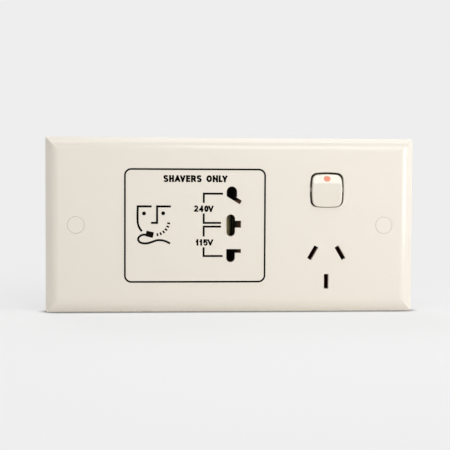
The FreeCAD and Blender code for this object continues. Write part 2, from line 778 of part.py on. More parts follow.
def make_indicator():
    """Red pip let into the upper facet, with a face parallel to it."""
    body = new_body("rocker_indicator", ROCKER_PLACE, (1, 0, 0), "rocker_tilt")
    top = f"({INDICATOR_FACET} + indicator_width)"
    add(
        body,
        obround("indicator_length", "indicator_width"),
        f"{INDICATOR_FACET} - indicator_depth",
        top,
        ("0", "indicator_rise"),
    )
    slope = "indicator_width * tan(upper_lean * 1 deg)"
    face = f"{INDICATOR_FACET} + indicator_proud"
    above = polygon(
        (f"-({face} + {slope})", "indicator_rise - indicator_width"),
        (f"-({face} - {slope})", "indicator_rise + indicator_width"),
        (f"-({top} + {slope})", "indicator_rise + indicator_width"),
        (f"-({top} + {slope})", "indicator_rise - indicator_width"),
    )
    cut(body, above, "-indicator_length", "indicator_length", plane="YZ_Plane")


def make_plunger():
    """Plunger that slides in the rocker's stem and presses on the see-saw contact."""
    body = new_body("switch_plunger", ROCKER_PLACE, (1, 0, 0), "rocker_tilt")
    shoulder = "-(plunger_back + plunger_guide)"
    add(body, disc("plunger_diameter"), shoulder, "-plunger_back")
    add(body, disc("plunger_nose"), f"-{PLUNGER_REACH}", shoulder)
    round_edges(body, "plunger_nose / 2 - running_gap", lambda p: near(p.y, PLUNGER_REACH))


def make_spring():
    """Coil spring between the plunger and the end of the stem's bore.

    Each half turn is half a ring, tilted so that its ends meet the next one's in a common tangent.
    """
    wire = number("spring_wire")
    length = number("plunger_back + stem_bore_depth") - 2 * wire
    coil_radius = number("plunger_diameter") / 2 - wire
    half_turns = int(number("2 * spring_turns"))
    rise = length / half_turns
    ring_radius = math.hypot(coil_radius, rise / 2)
    tilt = math.degrees(math.atan2(rise / 2, coil_radius))
    half_ring = Part.makeTorus(ring_radius, wire / 2, FreeCAD.Vector(), FreeCAD.Vector(0, 0, 1), 0, 360, 180)
    arcs = []
    for i in range(half_turns):
        arc_piece = half_ring.copy()
        turn = FreeCAD.Rotation(FreeCAD.Vector(0, 0, 1), 180.0 * i)
        lean = FreeCAD.Rotation(FreeCAD.Vector(0, 1, 0), tilt)
        arc_piece.Placement = FreeCAD.Placement(FreeCAD.Vector(0, 0, rise * (i + 0.5)), turn.multiply(lean))
        arcs.append(arc_piece)
    coil = arcs[0].fuse(arcs[1:])
    along_bore = FreeCAD.Rotation(FreeCAD.Vector(1, 0, 0), 90)
    in_rocker = FreeCAD.Placement(FreeCAD.Vector(0, number("plunger_back") - wire, 0), along_bore)
    rocker = at_height(*ROCKER_PLACE, (1, 0, 0), number("rocker_tilt"))
    add_feature("plunger_spring", coil, rocker.multiply(in_rocker))


def make_seesaw():
    """See-saw contact with a saddle over the fulcrum's round edge, and its silver tip."""
    body = new_body("moving_contact", SEESAW_PLACE, (-1, 0, 0), "seesaw_tilt")
    half = "seesaw_width / 2"
    add(body, disc(SADDLE), f"-{half}", half, plane="YZ_Plane")
    arms = rect("strip_thickness", "seesaw_length")
    add(body, arms, f"-{half}", half, ("-strip_thickness / 2", "0"), plane="YZ_Plane")
    cut(body, rect(SADDLE, SADDLE), f"-{half}", half, (f"{SADDLE} / 2", "0"), plane="YZ_Plane")
    cut(body, disc("fulcrum_diameter + 2 * running_gap"), f"-{half}", half, plane="YZ_Plane")
    tip = new_body("moving_contact_tip", SEESAW_PLACE, (-1, 0, 0), "seesaw_tilt")
    add(tip, disc("tip_diameter"), "-tip_thickness", "0", ("0", "tip_rise"))


def make_fixed_contacts():
    """Strip with the fulcrum, and the link that carries the fixed tip and runs to the active clip."""
    line_contact = new_body("line_contact")
    left = "(outlet_x - strip_overhang)"
    right = f"({LINE_BLOCK_X} + block_size / 2)"
    foot = rect(f"{right} - {left}", "strip_width")
    add(line_contact, foot, STRIP_BACK, STRIP_FRONT, (f"({right} + {left}) / 2", "rocker_z"))
    blade = rect("seesaw_width", "blade_thickness")
    add(line_contact, blade, STRIP_FRONT, "-fulcrum_depth", ("outlet_x", "rocker_z"))
    half = "seesaw_width / 2"
    edge = ("fulcrum_depth", "rocker_z")
    add(line_contact, disc("fulcrum_diameter"), f"outlet_x - {half}", f"outlet_x + {half}", edge, plane="YZ_Plane")

    link = new_body("load_link")
    add(link, link_outline("0"), STRIP_BACK, STRIP_FRONT)
    tip = new_body("load_contact_tip")
    place = ("outlet_x", "rocker_z + tip_rise")
    add(tip, disc("tip_diameter"), STRIP_FRONT, f"{STRIP_FRONT} + fixed_tip_thickness", place)


def link_outline(gap):
    """Outline of the load link, grown by a gap on every side."""
    (active_x, active_z), _ = PIN_SLOTS["active"]
    half = f"(strip_width / 2 + {gap})"
    leg = "(outlet_x - link_leg_x)"
    leg_left = f"{leg} - link_width / 2 - {gap}"
    leg_right = f"{leg} + link_width / 2 + {gap}"
    arm = "(rocker_z + tip_rise)"
    arm_end = f"outlet_x + strip_overhang + {gap}"
    clip_end = f"{active_x} + clip_width / 2 + {gap}"
    return polygon(
        (leg_left, f"{arm} + {half}"),
        (leg_left, f"{active_z} - {half}"),
        (clip_end, f"{active_z} - {half}"),
        (clip_end, f"{active_z} + {half}"),
        (leg_right, f"{active_z} + {half}"),
        (leg_right, f"{arm} - {half}"),
        (arm_end, f"{arm} - {half}"),
        (arm_end, f"{arm} + {half}"),
    )


def make_outlet_body():
    """Moulding behind the outlet: rocker well and bearings, contact pockets, terminal pockets and ears."""
    body = new_body("outlet_body")
    outline = rounded("mechanism_width", "mechanism_height", "mechanism_corner")
    add(body, outline, OUTLET_BACK, SKIN_BACK, ("outlet_x", "0"))
    ear_height = f"({EAR_END} - mechanism_height / 2)"
    for side in SIDES:
        middle = f"{side} * ({EAR_END} + mechanism_height / 2) / 2"
        add(body, rect("ear_width", ear_height), EAR_BACK, "fixing_foot", ("outlet_x", middle))
        hole = ("outlet_x", f"{side} * fixing_height")
        cut(body, disc("fixing_screw + 2 * hole_gap"), EAR_BACK, "fixing_foot", hole)

    switch = ("outlet_x", "rocker_z")
    cut(body, rect(f"{ROCKER_WIDTH} + 2 * well_gap", "well_length"), "well_floor", SKIN_BACK, switch)
    cut(body, rect("chamber_width", "chamber_length"), STRIP_FRONT, "well_floor", switch)
    bearing = "(trunnion_diameter + 2 * running_gap)"
    reach = f"({ROCKER_WIDTH} / 2 + trunnion_length + hole_gap)"
    left, right = f"outlet_x - {reach}", f"outlet_x + {reach}"
    cut(body, disc(bearing), left, right, ("-pivot_height", "rocker_z"), plane="YZ_Plane")
    slot_depth = f"({SKIN_BACK} - pivot_height)"
    slot_middle = (f"-(pivot_height + {slot_depth} / 2)", "rocker_z")
    cut(body, rect(slot_depth, bearing), left, right, slot_middle, plane="YZ_Plane")

    for place, angle in PIN_SLOTS.values():
        pocket = rect("clip_width + 2 * strip_gap", "clip_pocket")
        cut(body, pocket, STRIP_FRONT, SKIN_BACK, place, angle)
    cut(body, link_outline("strip_gap"), OUTLET_BACK, STRIP_FRONT)
    foot_left = "(outlet_x - strip_overhang - strip_gap)"
    foot_right = f"({LINE_BLOCK_X} + block_size / 2 + strip_gap)"
    foot = rect(f"{foot_right} - {foot_left}", "strip_width + 2 * strip_gap")
    cut(body, foot, OUTLET_BACK, STRIP_FRONT, (f"({foot_right} + {foot_left}) / 2", "rocker_z"))
    for (x, z), front, plane in TERMINALS.values():
        block = "block_size + 2 * block_gap"
        cut(body, rect(block, block), OUTLET_BACK, front, (x, z))
        if plane == "YZ_Plane":
            ends, centre = (x, "outlet_x + mechanism_width / 2"), ("wire_tunnel_depth", z)
        else:
            ends, centre = ("-mechanism_height / 2", z), (x, "wire_tunnel_depth")
        cut(body, disc("wire_entry"), *ends, centre, plane=plane)
    for place in COVER_SCREWS:
        hole = disc("fixing_screw + 2 * thread_gap")
        cut(body, hole, OUTLET_BACK, f"{OUTLET_BACK} + cover_screw_bite + hole_gap", place)

    neutral_x, neutral_z = TERMINALS["neutral"][0]
    outer = "(outlet_x - mechanism_width / 2)"
    inner = f"(outlet_x + {LEAD_WAY} / 2)"
    cut_lead_way(body, (outer, foot_left), ("rocker_z", "rocker_z"))
    cut_lead_way(body, (outer, inner), ("neutral_lead_z", "neutral_lead_z"))
    cut_lead_way(body, ("outlet_x", "outlet_x"), (neutral_z, "neutral_lead_z"))
    cut_lead_way(body, ("outlet_x", f"{neutral_x} - block_size / 2"), (neutral_z, neutral_z))


def cut_lead_way(body, ends_x, ends_z):
    """Groove in the back of the outlet body for a lead that runs along X or Z."""
    size = [f"({high}) - ({low})" if low != high else LEAD_WAY for low, high in (ends_x, ends_z)]
    place = [f"(({low}) + ({high})) / 2" for low, high in (ends_x, ends_z)]
    cut(body, rect(*size), OUTLET_BACK, f"{LEAD_LEVEL} + {LEAD_WAY} / 2", place)


def make_outlet_cover():
    """Back cover of the outlet, with a way to each terminal screw."""
    body = new_body("outlet_cover")
    back = f"{OUTLET_BACK} - cover_thickness"
    outline = rounded("mechanism_width", "mechanism_height", "mechanism_corner")
    add(body, outline, back, OUTLET_BACK, ("outlet_x", "0"))
    round_edges(
        body,
        "cover_edge",
        lambda p: near(p.y, "mechanism_depth + cover_thickness"),
    )
    for place, _, _ in TERMINALS.values():
        cut(body, disc("terminal_screw_head + 2 * hole_gap"), back, OUTLET_BACK, place)
    for place in COVER_SCREWS:
        cut(body, disc("fixing_screw + 2 * hole_gap"), back, OUTLET_BACK, place)


def make_terminals():
    """Brass terminal blocks with a wire tunnel each, and their clamping screws."""
    for name, ((x, z), front, plane) in TERMINALS.items():
        body = new_body(f"{name}_terminal")
        add(body, rect("block_size", "block_size"), "-block_back", front, (x, z))
        if plane == "YZ_Plane":
            ends, centre = (f"{x} - block_size / 2", f"{x} + block_size / 2"), ("wire_tunnel_depth", z)
        else:
            ends, centre = (f"{z} - block_size / 2", f"{z} + block_size / 2"), (x, "wire_tunnel_depth")
        cut(body, disc("wire_tunnel"), *ends, centre, plane=plane)
        cut(body, disc("terminal_screw + 2 * thread_gap"), "-block_back", "-wire_tunnel_depth", (x, z))
    bite = "block_back - wire_tunnel_depth - wire_tunnel / 2 - terminal_screw_gap"
    screw = slotted_screw("terminal_screw", bite, "terminal_screw_head", "terminal_head_height")
    screws("terminal_screws", screw, [(x, "-block_back", z) for (x, z), _, _ in TERMINALS.values()])


def make_clips():
    """Folded bronze clips behind the outlet's slots, with lips that guide the pins in."""
    front, pinch_height = number(f"{SKIN_BACK} - clip_setback"), number(f"{SKIN_BACK} - clip_pinch_depth")
    root_height = number(f"{SKIN_BACK} - clip_root_depth")
    base = number(f"{STRIP_FRONT} + strip_thickness / 2")
    lip, pinch, root = number("clip_lip"), number("clip_pinch"), number("clip_root")
    leaf = [(lip, front), (pinch, pinch_height), (root, root_height), (root, base)]
    points = [(-across, height) for across, height in leaf] + leaf[::-1]
    clip = folded_strip(points, number("strip_thickness"), number("clip_width"))
    for name, ((x, z), angle) in PIN_SLOTS.items():
        add_feature(f"{name}_contact", clip.copy(), at_height(x, "0", z, (0, 1, 0), 90 - number(angle)))


def make_contact_block():
    """Dark moulding behind the shaver apertures, with a cell for each contact."""
    body = new_body("shaver_contact_block")
    length = "(contact_block_top - contact_block_bottom)"
    middle = "(contact_block_top + contact_block_bottom) / 2"
    outline = rounded("contact_block_width", length, "mechanism_corner")
    add(body, outline, "-contact_block_depth", SKIN_BACK, ("contact_block_x", middle))
    for z, side in zip(BLOCK_SCREWS, ("1", "-1")):
        ear = rect("block_ear_width", "block_ear_reach + mechanism_corner")
        add(body, ear, EAR_BACK, "fixing_foot", ("contact_block_x", f"{z} - {side} * mechanism_corner / 2"))
        cut(body, disc("fixing_screw + 2 * hole_gap"), EAR_BACK, "fixing_foot", ("contact_block_x", z))
    for z, contact_length, _ in SHAVER_CONTACTS.values():
        cell = rect("contact_cell_width", f"{contact_length} + 2 * contact_cell_gap")
        cut(body, cell, "-contact_floor", SKIN_BACK, ("contact_cell_x", z))
        slot = rect("contact_thickness + 2 * contact_cell_gap", "tab_width + 2 * contact_cell_gap")
        cut(body, slot, "-contact_block_depth", "-contact_floor", (TAB_X, z))


def make_shaver_contacts():
    """Two-leaf contacts behind the shaver apertures, each with a tab for its lead."""
    thickness = number("contact_thickness")
    base = number("-contact_floor + contact_thickness / 2")
    pinch, root = (number(f"{SKIN_BACK} - {depth}") for depth in ("contact_pinch_depth", "contact_root_depth"))
    bends = [
        (number("shaver_x - contact_pinch_left"), pinch),
        (number("shaver_x - contact_root_left"), root),
        (number("shaver_x - contact_root_left"), base),
        (number("shaver_x + contact_root_right"), base),
        (number("shaver_x + contact_root_right"), root),
        (number("shaver_x + contact_pinch_right"), pinch),
    ]
    lips = number("shaver_x - contact_flare_left"), number("shaver_x + contact_flare_right")
    tab_length, tab_width = number("tab_length"), number("tab_width")
    corner = FreeCAD.Vector(number(TAB_X) - thickness / 2, -base, -tab_width / 2)
    for label, (z, length, setback) in SHAVER_CONTACTS.items():
        front = number(f"{SKIN_BACK} - {setback}")
        points = [(lips[0], front), *bends, (lips[1], front)]
        strip = folded_strip(points, thickness, number(length))
        tab = Part.makeBox(thickness, thickness / 2 + tab_length, tab_width, corner)
        add_feature(label, strip.fuse(tab).removeSplitter(), at_height("0", "0", z))


def make_core():
    """E and I stacks of the transformer's laminated core."""
    e_stack = new_body("core_e_stack")
    width = f"({WINDOW_RIGHT} - {CORE_LEFT})"
    add(e_stack, rect(width, CORE_LENGTH), CORE_BACK, "-core_depth", (f"({WINDOW_RIGHT} + {CORE_LEFT}) / 2", "0"))
    i_stack = new_body("core_i_stack")
    add(i_stack, rect("core_limb", CORE_LENGTH), CORE_BACK, "-core_depth", (f"{CORE_RIGHT} - core_limb / 2", "0"))
    for side in SIDES:
        window = (f"({WINDOW_LEFT} + {WINDOW_RIGHT}) / 2", f"{side} * 3 * core_limb / 2")
        opening = rect(f"{WINDOW_RIGHT} - {WINDOW_LEFT}", "core_limb")
        cut(e_stack, opening, CORE_BACK, "-core_depth", window)
        for stack, x in ((e_stack, f"{CORE_LEFT} + core_limb / 2"), (i_stack, f"{CORE_RIGHT} - core_limb / 2")):
            hole = disc("core_screw + 2 * hole_gap")
            cut(stack, hole, CORE_BACK, "-core_depth", (x, f"{side} * {CORE_HOLE_Z}"))


def square_coil(halves, radius):
    """Round-cornered outline from its half sizes along Y and Z."""
    return rounded(*(f"2 * {half}" for half in halves), radius)


def make_coil():
    """Split bobbin round the middle limb, its two windings, their tape and the thermal cut-out."""
    middle = (CORE_MIDDLE, "0")
    bore = (f"({CORE_STACK} + 2 * bobbin_gap)", "(2 * core_limb + 2 * bobbin_gap)")
    tube = [f"{size} + 2 * bobbin_wall" for size in bore]
    body = new_body("bobbin")
    add(body, rect(*tube), BOBBIN_LEFT, BOBBIN_RIGHT, middle, plane="YZ_Plane")
    flanges = [
        (BOBBIN_LEFT, BAYS["primary"][0]),
        (BAYS["primary"][1], BAYS["secondary"][0]),
        (BAYS["secondary"][1], BOBBIN_RIGHT),
    ]
    for low, high in flanges:
        add(body, square_coil(FLANGE, "mechanism_corner"), low, high, middle, plane="YZ_Plane")
    cut(body, rect(*bore), BOBBIN_LEFT, BOBBIN_RIGHT, middle, plane="YZ_Plane")

    for name, (low, high) in BAYS.items():
        winding = new_body(f"{name}_winding")
        add(winding, square_coil(WINDING, "winding_corner"), low, high, middle, plane="YZ_Plane")
        cut(winding, rect(*tube), low, high, middle, plane="YZ_Plane")
        tape = new_body(f"{name}_tape")
        outer = square_coil(TAPE, "winding_corner + tape_gap + tape_thickness")
        add(tape, outer, low, high, middle, plane="YZ_Plane")
        cut(tape, square_coil(TAPE_BORE, "winding_corner + tape_gap"), low, high, middle, plane="YZ_Plane")

    low, high = BAYS["primary"]
    seat = f"-({CORE_MIDDLE} - {TAPE[0]})"
    cutout = new_body("thermal_cutout")
    outline = rounded("cutout_width", "cutout_length", "cutout_width / 4")
    add(cutout, outline, seat, f"{seat} + cutout_thickness", (f"({low} + {high}) / 2", "0"))


def make_case():
    """Deep case round the transformer, open to the plate, with posts for the core, ears and vents."""
    body = new_body("transformer_case")
    centre = (CASE_X, "0")
    add(body, rounded("case_width", "case_height", "case_corner"), CASE_BACK, CASE_FRONT, centre)
    round_edges(body, "case_edge", lambda p: near(p.y, "case_depth"))
    inner = rounded("case_width - 2 * case_wall", "case_height - 2 * case_wall", "case_corner - case_wall")
    cut(body, inner, CASE_INNER_BACK, CASE_FRONT, centre)
    for side in SIDES:
        for x in CASE_SCREWS:
            ear = rect("ear_width", f"{EAR_END} - case_height / 2 + case_wall / 2")
            ear_middle = f"{side} * ({EAR_END} + case_height / 2 - case_wall / 2) / 2"
            add(body, ear, EAR_BACK, "fixing_foot", (x, ear_middle))
            cut(body, disc("fixing_screw + 2 * hole_gap"), EAR_BACK, "fixing_foot", (x, f"{side} * fixing_height"))
        for x in (f"{CORE_LEFT} + core_limb / 2", f"{CORE_RIGHT} - core_limb / 2"):
            place = (x, f"{side} * {CORE_HOLE_Z}")
            add(body, disc("case_post"), CASE_INNER_BACK, CORE_BACK, place)
            hole = disc("core_screw + 2 * thread_gap")
            cut(body, hole, f"{CORE_BACK} - core_screw_bite - hole_gap", CORE_BACK, place)
    count = int(number("vent_count"))
    for i in range(count):
        x = f"({WINDOW_LEFT} + {WINDOW_RIGHT}) / 2 + ({i} - ({count} - 1) / 2) * vent_pitch"
        cut(body, obround("vent_length", "vent_width"), CASE_BACK, CASE_INNER_BACK, (x, "0"), "90")
    for z in ("rocker_z", "neutral_lead_z"):
        cut(body, disc(LEAD_WAY), f"{CASE_RIGHT} - case_wall", CASE_RIGHT, ("lead_depth", z), plane="YZ_Plane")


def bent_path(points, bend):
    """Straight runs through the points, joined by arcs that are tangent to both."""
    edges = []
    start = points[0]
    for before, corner, after in zip(points, points[1:], points[2:]):
        back, ahead = (before - corner).normalize(), (after - corner).normalize()
        half_angle = back.getAngle(ahead) / 2
        reach = bend / math.tan(half_angle)
        inward = (back + ahead).normalize()
        middle = corner + inward * (bend / math.sin(half_angle) - bend)
        first, last = corner + back * reach, corner + ahead * reach
        edges += [Part.LineSegment(start, first).toShape(), Part.Arc(first, middle, last).toShape()]
        start = last
    edges.append(Part.LineSegment(start, points[-1]).toShape())
    return Part.Wire(edges)


def make_lead(label, places):
    """Insulated lead through places of x, height and z."""
    points = [FreeCAD.Vector(number(x), -number(height), number(z)) for x, height, z in places]
    path = bent_path(points, number("lead_bend"))
    section = Part.Wire(Part.makeCircle(number("lead_diameter") / 2, points[0], points[1] - points[0]))
    add_feature(label, path.makePipeShell([section], True, False))


def make_leads():
    """Supply leads to the primary winding, and leads from the secondary winding to the shaver contacts."""
    (line_x, line_z), (neutral_x, neutral_z) = TERMINALS["line"][0], TERMINALS["neutral"][0]
    starts = {
        "line_lead": [(f"{line_x} - block_size / 2", line_z)],
        "neutral_lead": [
            (f"{neutral_x} - block_size / 2", neutral_z),
            ("outlet_x", neutral_z),
            ("outlet_x", "neutral_lead_z"),
        ],
    }
    for (label, start), side in zip(starts.items(), ("1", "-1")):
        along = [(x, LEAD_LEVEL, z) for x, z in start]
        bay = [
            (LEAD_TURN_X, LEAD_LEVEL, start[-1][1]),
            (LEAD_TURN_X, LEAD_BACK, f"{side} * {LEAD_SIDE}"),
            (PRIMARY_X, LEAD_BACK, f"{side} * {LEAD_SIDE}"),
            (PRIMARY_X, LEAD_BACK, f"{side} * {TAPE[1]}"),
        ]
        make_lead(label, along + bay)
    for (label, (z, _, _)), spread in zip(SHAVER_CONTACTS.items(), ("lead_spread", "middle_z", "-lead_spread")):
        places = [
            (SECONDARY_X, f"{TAPE[0]} - {CORE_MIDDLE}", spread),
            (SECONDARY_X, LEAD_FRONT, spread),
            (LEAD_DROP_X, LEAD_FRONT, z),
            (LEAD_DROP_X, LEAD_TAB_LEVEL, z),
            (f"{TAB_X} - contact_thickness / 2", LEAD_TAB_LEVEL, z),
        ]
        make_lead(label.replace("contact", "lead"), places)


def make_screws():
    """Screws that hold the mechanisms to the plate, the outlet's cover and the core."""
    clamp = slotted_screw("fixing_screw", "ear_thickness + fixing_bite", "fixing_head", "fixing_head_height")
    screws("mechanism_screws", clamp, [("outlet_x", EAR_BACK, f"{side} * fixing_height") for side in SIDES])
    case_places = [(x, EAR_BACK, f"{side} * fixing_height") for x in CASE_SCREWS for side in SIDES]
    screws("case_screws", clamp, case_places)
    screws("contact_block_screws", clamp, [("contact_block_x", EAR_BACK, z) for z in BLOCK_SCREWS])
    cover = slotted_screw("fixing_screw", "cover_thickness + cover_screw_bite", "fixing_head", "fixing_head_height")
    screws("cover_screws", cover, [(x, f"{OUTLET_BACK} - cover_thickness", z) for x, z in COVER_SCREWS])
    bolt = slotted_screw("core_screw", f"{CORE_STACK} + core_screw_bite", "core_screw_head", "core_screw_head_height")
    columns = (f"{CORE_LEFT} + core_limb / 2", f"{CORE_RIGHT} - core_limb / 2")
    core_places = [(x, "-core_depth", f"{side} * {CORE_HOLE_Z}") for x in columns for side in SIDES]
    screws("core_screws", bolt, core_places, forward=False)


def write_parts():
    """Check every object, then write each sub-part to its file."""
    doc.recompute()
    for item in doc.Objects:
        if "Invalid" in item.State or "Error" in item.State:
            raise RuntimeError(f"{item.Label} failed: {item.State}")
    for pocket in cuts:
        if pocket.Shape.Volume >= pocket.BaseFeature.Shape.Volume:
            raise RuntimeError(f"{pocket.Label} cuts nothing")
    os.makedirs("parts", exist_ok=True)
    for part in parts:
        if part.Shape.isNull() or not part.Shape.isValid():
            raise RuntimeError(f"{part.Label} has no valid shape")
        part.Shape.exportStep(f"parts/{part.Label}.step")


make_face_plate()
make_caps()
make_rocker()
make_indicator()
make_plunger()
make_spring()
make_seesaw()
make_fixed_contacts()
make_outlet_body()
make_outlet_cover()
make_terminals()
make_clips()
make_contact_block()
make_shaver_contacts()
make_core()
make_coil()
make_case()
make_leads()
make_screws()
write_parts()
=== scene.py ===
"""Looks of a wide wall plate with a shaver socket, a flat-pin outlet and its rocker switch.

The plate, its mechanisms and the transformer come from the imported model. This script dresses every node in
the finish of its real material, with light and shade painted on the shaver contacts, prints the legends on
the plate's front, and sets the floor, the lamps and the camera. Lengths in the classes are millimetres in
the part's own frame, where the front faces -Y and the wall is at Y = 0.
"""

from __future__ import annotations

import json
import logging
import math
from dataclasses import dataclass, field
from enum import Enum

import bpy
import numpy as np
from mathutils import Euler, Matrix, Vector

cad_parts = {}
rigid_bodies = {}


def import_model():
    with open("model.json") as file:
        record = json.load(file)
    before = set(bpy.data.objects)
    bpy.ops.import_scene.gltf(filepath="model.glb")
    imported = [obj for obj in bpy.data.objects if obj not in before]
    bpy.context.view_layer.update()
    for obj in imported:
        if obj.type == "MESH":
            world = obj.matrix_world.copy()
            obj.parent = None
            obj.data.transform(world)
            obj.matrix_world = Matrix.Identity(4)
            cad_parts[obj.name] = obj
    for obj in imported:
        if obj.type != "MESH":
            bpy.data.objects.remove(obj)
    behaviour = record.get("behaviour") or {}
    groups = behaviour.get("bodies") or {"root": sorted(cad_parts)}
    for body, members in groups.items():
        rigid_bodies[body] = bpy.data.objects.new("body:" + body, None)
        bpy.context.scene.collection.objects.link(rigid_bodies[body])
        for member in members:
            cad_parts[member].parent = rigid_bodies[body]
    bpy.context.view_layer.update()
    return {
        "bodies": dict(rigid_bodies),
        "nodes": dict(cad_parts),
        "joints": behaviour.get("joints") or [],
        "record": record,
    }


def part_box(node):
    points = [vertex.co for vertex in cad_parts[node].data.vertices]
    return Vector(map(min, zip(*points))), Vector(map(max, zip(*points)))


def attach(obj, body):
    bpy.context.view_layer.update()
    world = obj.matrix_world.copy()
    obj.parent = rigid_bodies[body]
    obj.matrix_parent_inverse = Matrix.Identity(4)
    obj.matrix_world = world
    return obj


LOG = logging.getLogger("shaver_socket")
MM = 0.001
IMAGE_WIDTH_PX = 450
SENSOR_MM = 36.0
PLATE_NODE = "face_plate"

# Sockets of the Mix node that carry a colour, which have the same name as its other sockets
COLOUR_A = 6
COLOUR_B = 7
COLOUR_OUT = 2

# The Wave texture takes the sine of 20 times its scaled coordinate, so one band a unit needs this scale
WAVE_PER_BAND = 2 * math.pi / 20

# Corners of a square of half side one, counter-clockwise
UNIT_SQUARE = np.array([[1, 1], [-1, 1], [-1, -1], [1, -1]])

Points = np.ndarray


class Body(Enum):
    """Moving bodies of the part that new pieces ride on."""

    SOCKET = "socket"


class Axis(Enum):
    """Axis that the lines of a layered finish follow each other along."""

    X = "X"
    Y = "Y"


class Slot(Enum):
    """Material slots of the part's record."""

    PLATE = "plate_plastic"
    ROCKER = "rocker_plastic"
    INDICATOR = "indicator_red"
    BODY = "body_plastic"
    CASE = "case_plastic"
    BLOCK = "block_plastic"
    BOBBIN = "bobbin_plastic"
    BRONZE = "contact_bronze"
    NICKEL = "contact_nickel"
    SILVER = "contact_silver"
    BRASS = "terminal_brass"
    STEEL = "screw_steel"
    CORE = "core_steel"
    COPPER = "winding_copper"
    TAPE = "tape_yellow"
    RED_LEAD = "lead_red"
    BLACK_LEAD = "lead_black"
    WHITE_LEAD = "lead_white"


def linear(colour: str) -> tuple[float, float, float, float]:
    """Turn an sRGB hex colour into linear light.

    Args:
        colour: six hex digits after a hash.

    Returns:
        Linear red, green, blue and an alpha of one.
    """
    channels = [int(colour[i : i + 2], 16) / 255 for i in (1, 3, 5)]
    light = [c / 12.92 if c <= 0.04045 else ((c + 0.055) / 1.055) ** 2.4 for c in channels]
    return (light[0], light[1], light[2], 1.0)


def per_metre(spacing_mm: float) -> float:
    """Scale of a pattern on Object coordinates for a real spacing in millimetres."""
    return 1 / (spacing_mm * MM)


def add_node(
    tree: bpy.types.NodeTree,
    kind: str,
    inputs: dict[str | int, object] | None = None,
    **settings: object,
) -> bpy.types.Node:
    """Add one node with its settings and its inputs.

    Args:
        tree: node tree that gets the node.
        kind: the node's type name.
        inputs: socket name or number to a value, or to the output socket that feeds it.
        **settings: the node's own properties.

    Returns:
        The new node.
    """
    node = tree.nodes.new(kind)
    for name, value in settings.items():
        setattr(node, name, value)
    for name, value in (inputs or {}).items():
        if isinstance(value, bpy.types.NodeSocket):
            tree.links.new(value, node.inputs[name])
        else:
            node.inputs[name].default_value = value
    return node


def empty_material(name: str) -> tuple[bpy.types.Material, bpy.types.NodeTree]:
    """Make a material with an empty node tree.

    Args:
        name: the material's name.

    Returns:
        The material and its tree.
    """
    material = bpy.data.materials.new(name)
    material.use_nodes = True
    material.node_tree.nodes.clear()
    return material, material.node_tree


def background_rays(tree: bpy.types.NodeTree) -> bpy.types.NodeSocket:
    """Find the rays that show the background's own colour: those of the camera, mirrors and clear things.

    Args:
        tree: node tree of the floor or the world.

    Returns:
        Output that is one for such a ray and zero for any other.
    """
    path = add_node(tree, "ShaderNodeLightPath")
    seen = path.outputs["Is Camera Ray"]
    for kind in ("Is Glossy Ray", "Is Transmission Ray"):
        either = add_node(tree, "ShaderNodeMath", {0: seen, 1: path.outputs[kind]}, operation="MAXIMUM")
        seen = either.outputs["Value"]
    return seen


@dataclass(frozen=True)
class MouldedPlastic:
    """Moulded plastic: flow clouds, a fine skin texture and a gloss that varies a little.

    The clouds are the faint colour drift of a thick moulding. The skin is the tool's own texture, which
    breaks up reflections without showing as a pattern. That of a rough tool is drawn coarser than the real
    one, at half a millimetre and more, because a finer one doesn't show. A coat is the harder shine of a
    polished face.
    """

    name: str
    colour: str
    shade: str
    roughness: float
    roughness_spread: float = 0.03
    refraction: float = 1.53
    cloud_mm: float = 9.0
    cloud_detail: float = 6.0
    cloud_break: float = 0.8
    peel_mm: float = 1.6
    peel_detail: float = 2.0
    peel_strength: float = 0.02
    peel_height_mm: float = 0.2
    coat: float = 0.0
    coat_roughness: float = 0.15

    def build(self) -> bpy.types.Material:
        """Make the material from its values."""
        material, tree = empty_material(self.name)
        coordinates = add_node(tree, "ShaderNodeTexCoord").outputs["Object"]
        clouds = add_node(
            tree,
            "ShaderNodeTexNoise",
            {
                "Vector": coordinates,
                "Scale": per_metre(self.cloud_mm),
                "Detail": self.cloud_detail,
                "Roughness": self.cloud_break,
            },
        )
        colour = add_node(
            tree,
            "ShaderNodeMix",
            {"Factor": clouds.outputs["Fac"], COLOUR_A: linear(self.shade), COLOUR_B: linear(self.colour)},
            data_type="RGBA",
        )
        gloss = add_node(
            tree,
            "ShaderNodeMapRange",
            {
                "Value": clouds.outputs["Fac"],
                "To Min": self.roughness - self.roughness_spread,
                "To Max": self.roughness + self.roughness_spread,
            },
        )
        peel = add_node(
            tree,
            "ShaderNodeTexNoise",
            {"Vector": coordinates, "Scale": per_metre(self.peel_mm), "Detail": self.peel_detail},
        )
        bump = add_node(
            tree,
            "ShaderNodeBump",
            {
                "Height": peel.outputs["Fac"],
                "Strength": self.peel_strength,
                "Distance": self.peel_height_mm * MM,
            },
        )
        surface = add_node(
            tree,
            "ShaderNodeBsdfPrincipled",
            {
                "Base Color": colour.outputs[COLOUR_OUT],
                "Roughness": gloss.outputs["Result"],
                "Normal": bump.outputs["Normal"],
                "IOR": self.refraction,
                "Coat Weight": self.coat,
                "Coat Roughness": self.coat_roughness,
            },
        )
        add_node(tree, "ShaderNodeOutputMaterial", {"Surface": surface.outputs["BSDF"]})
        return material


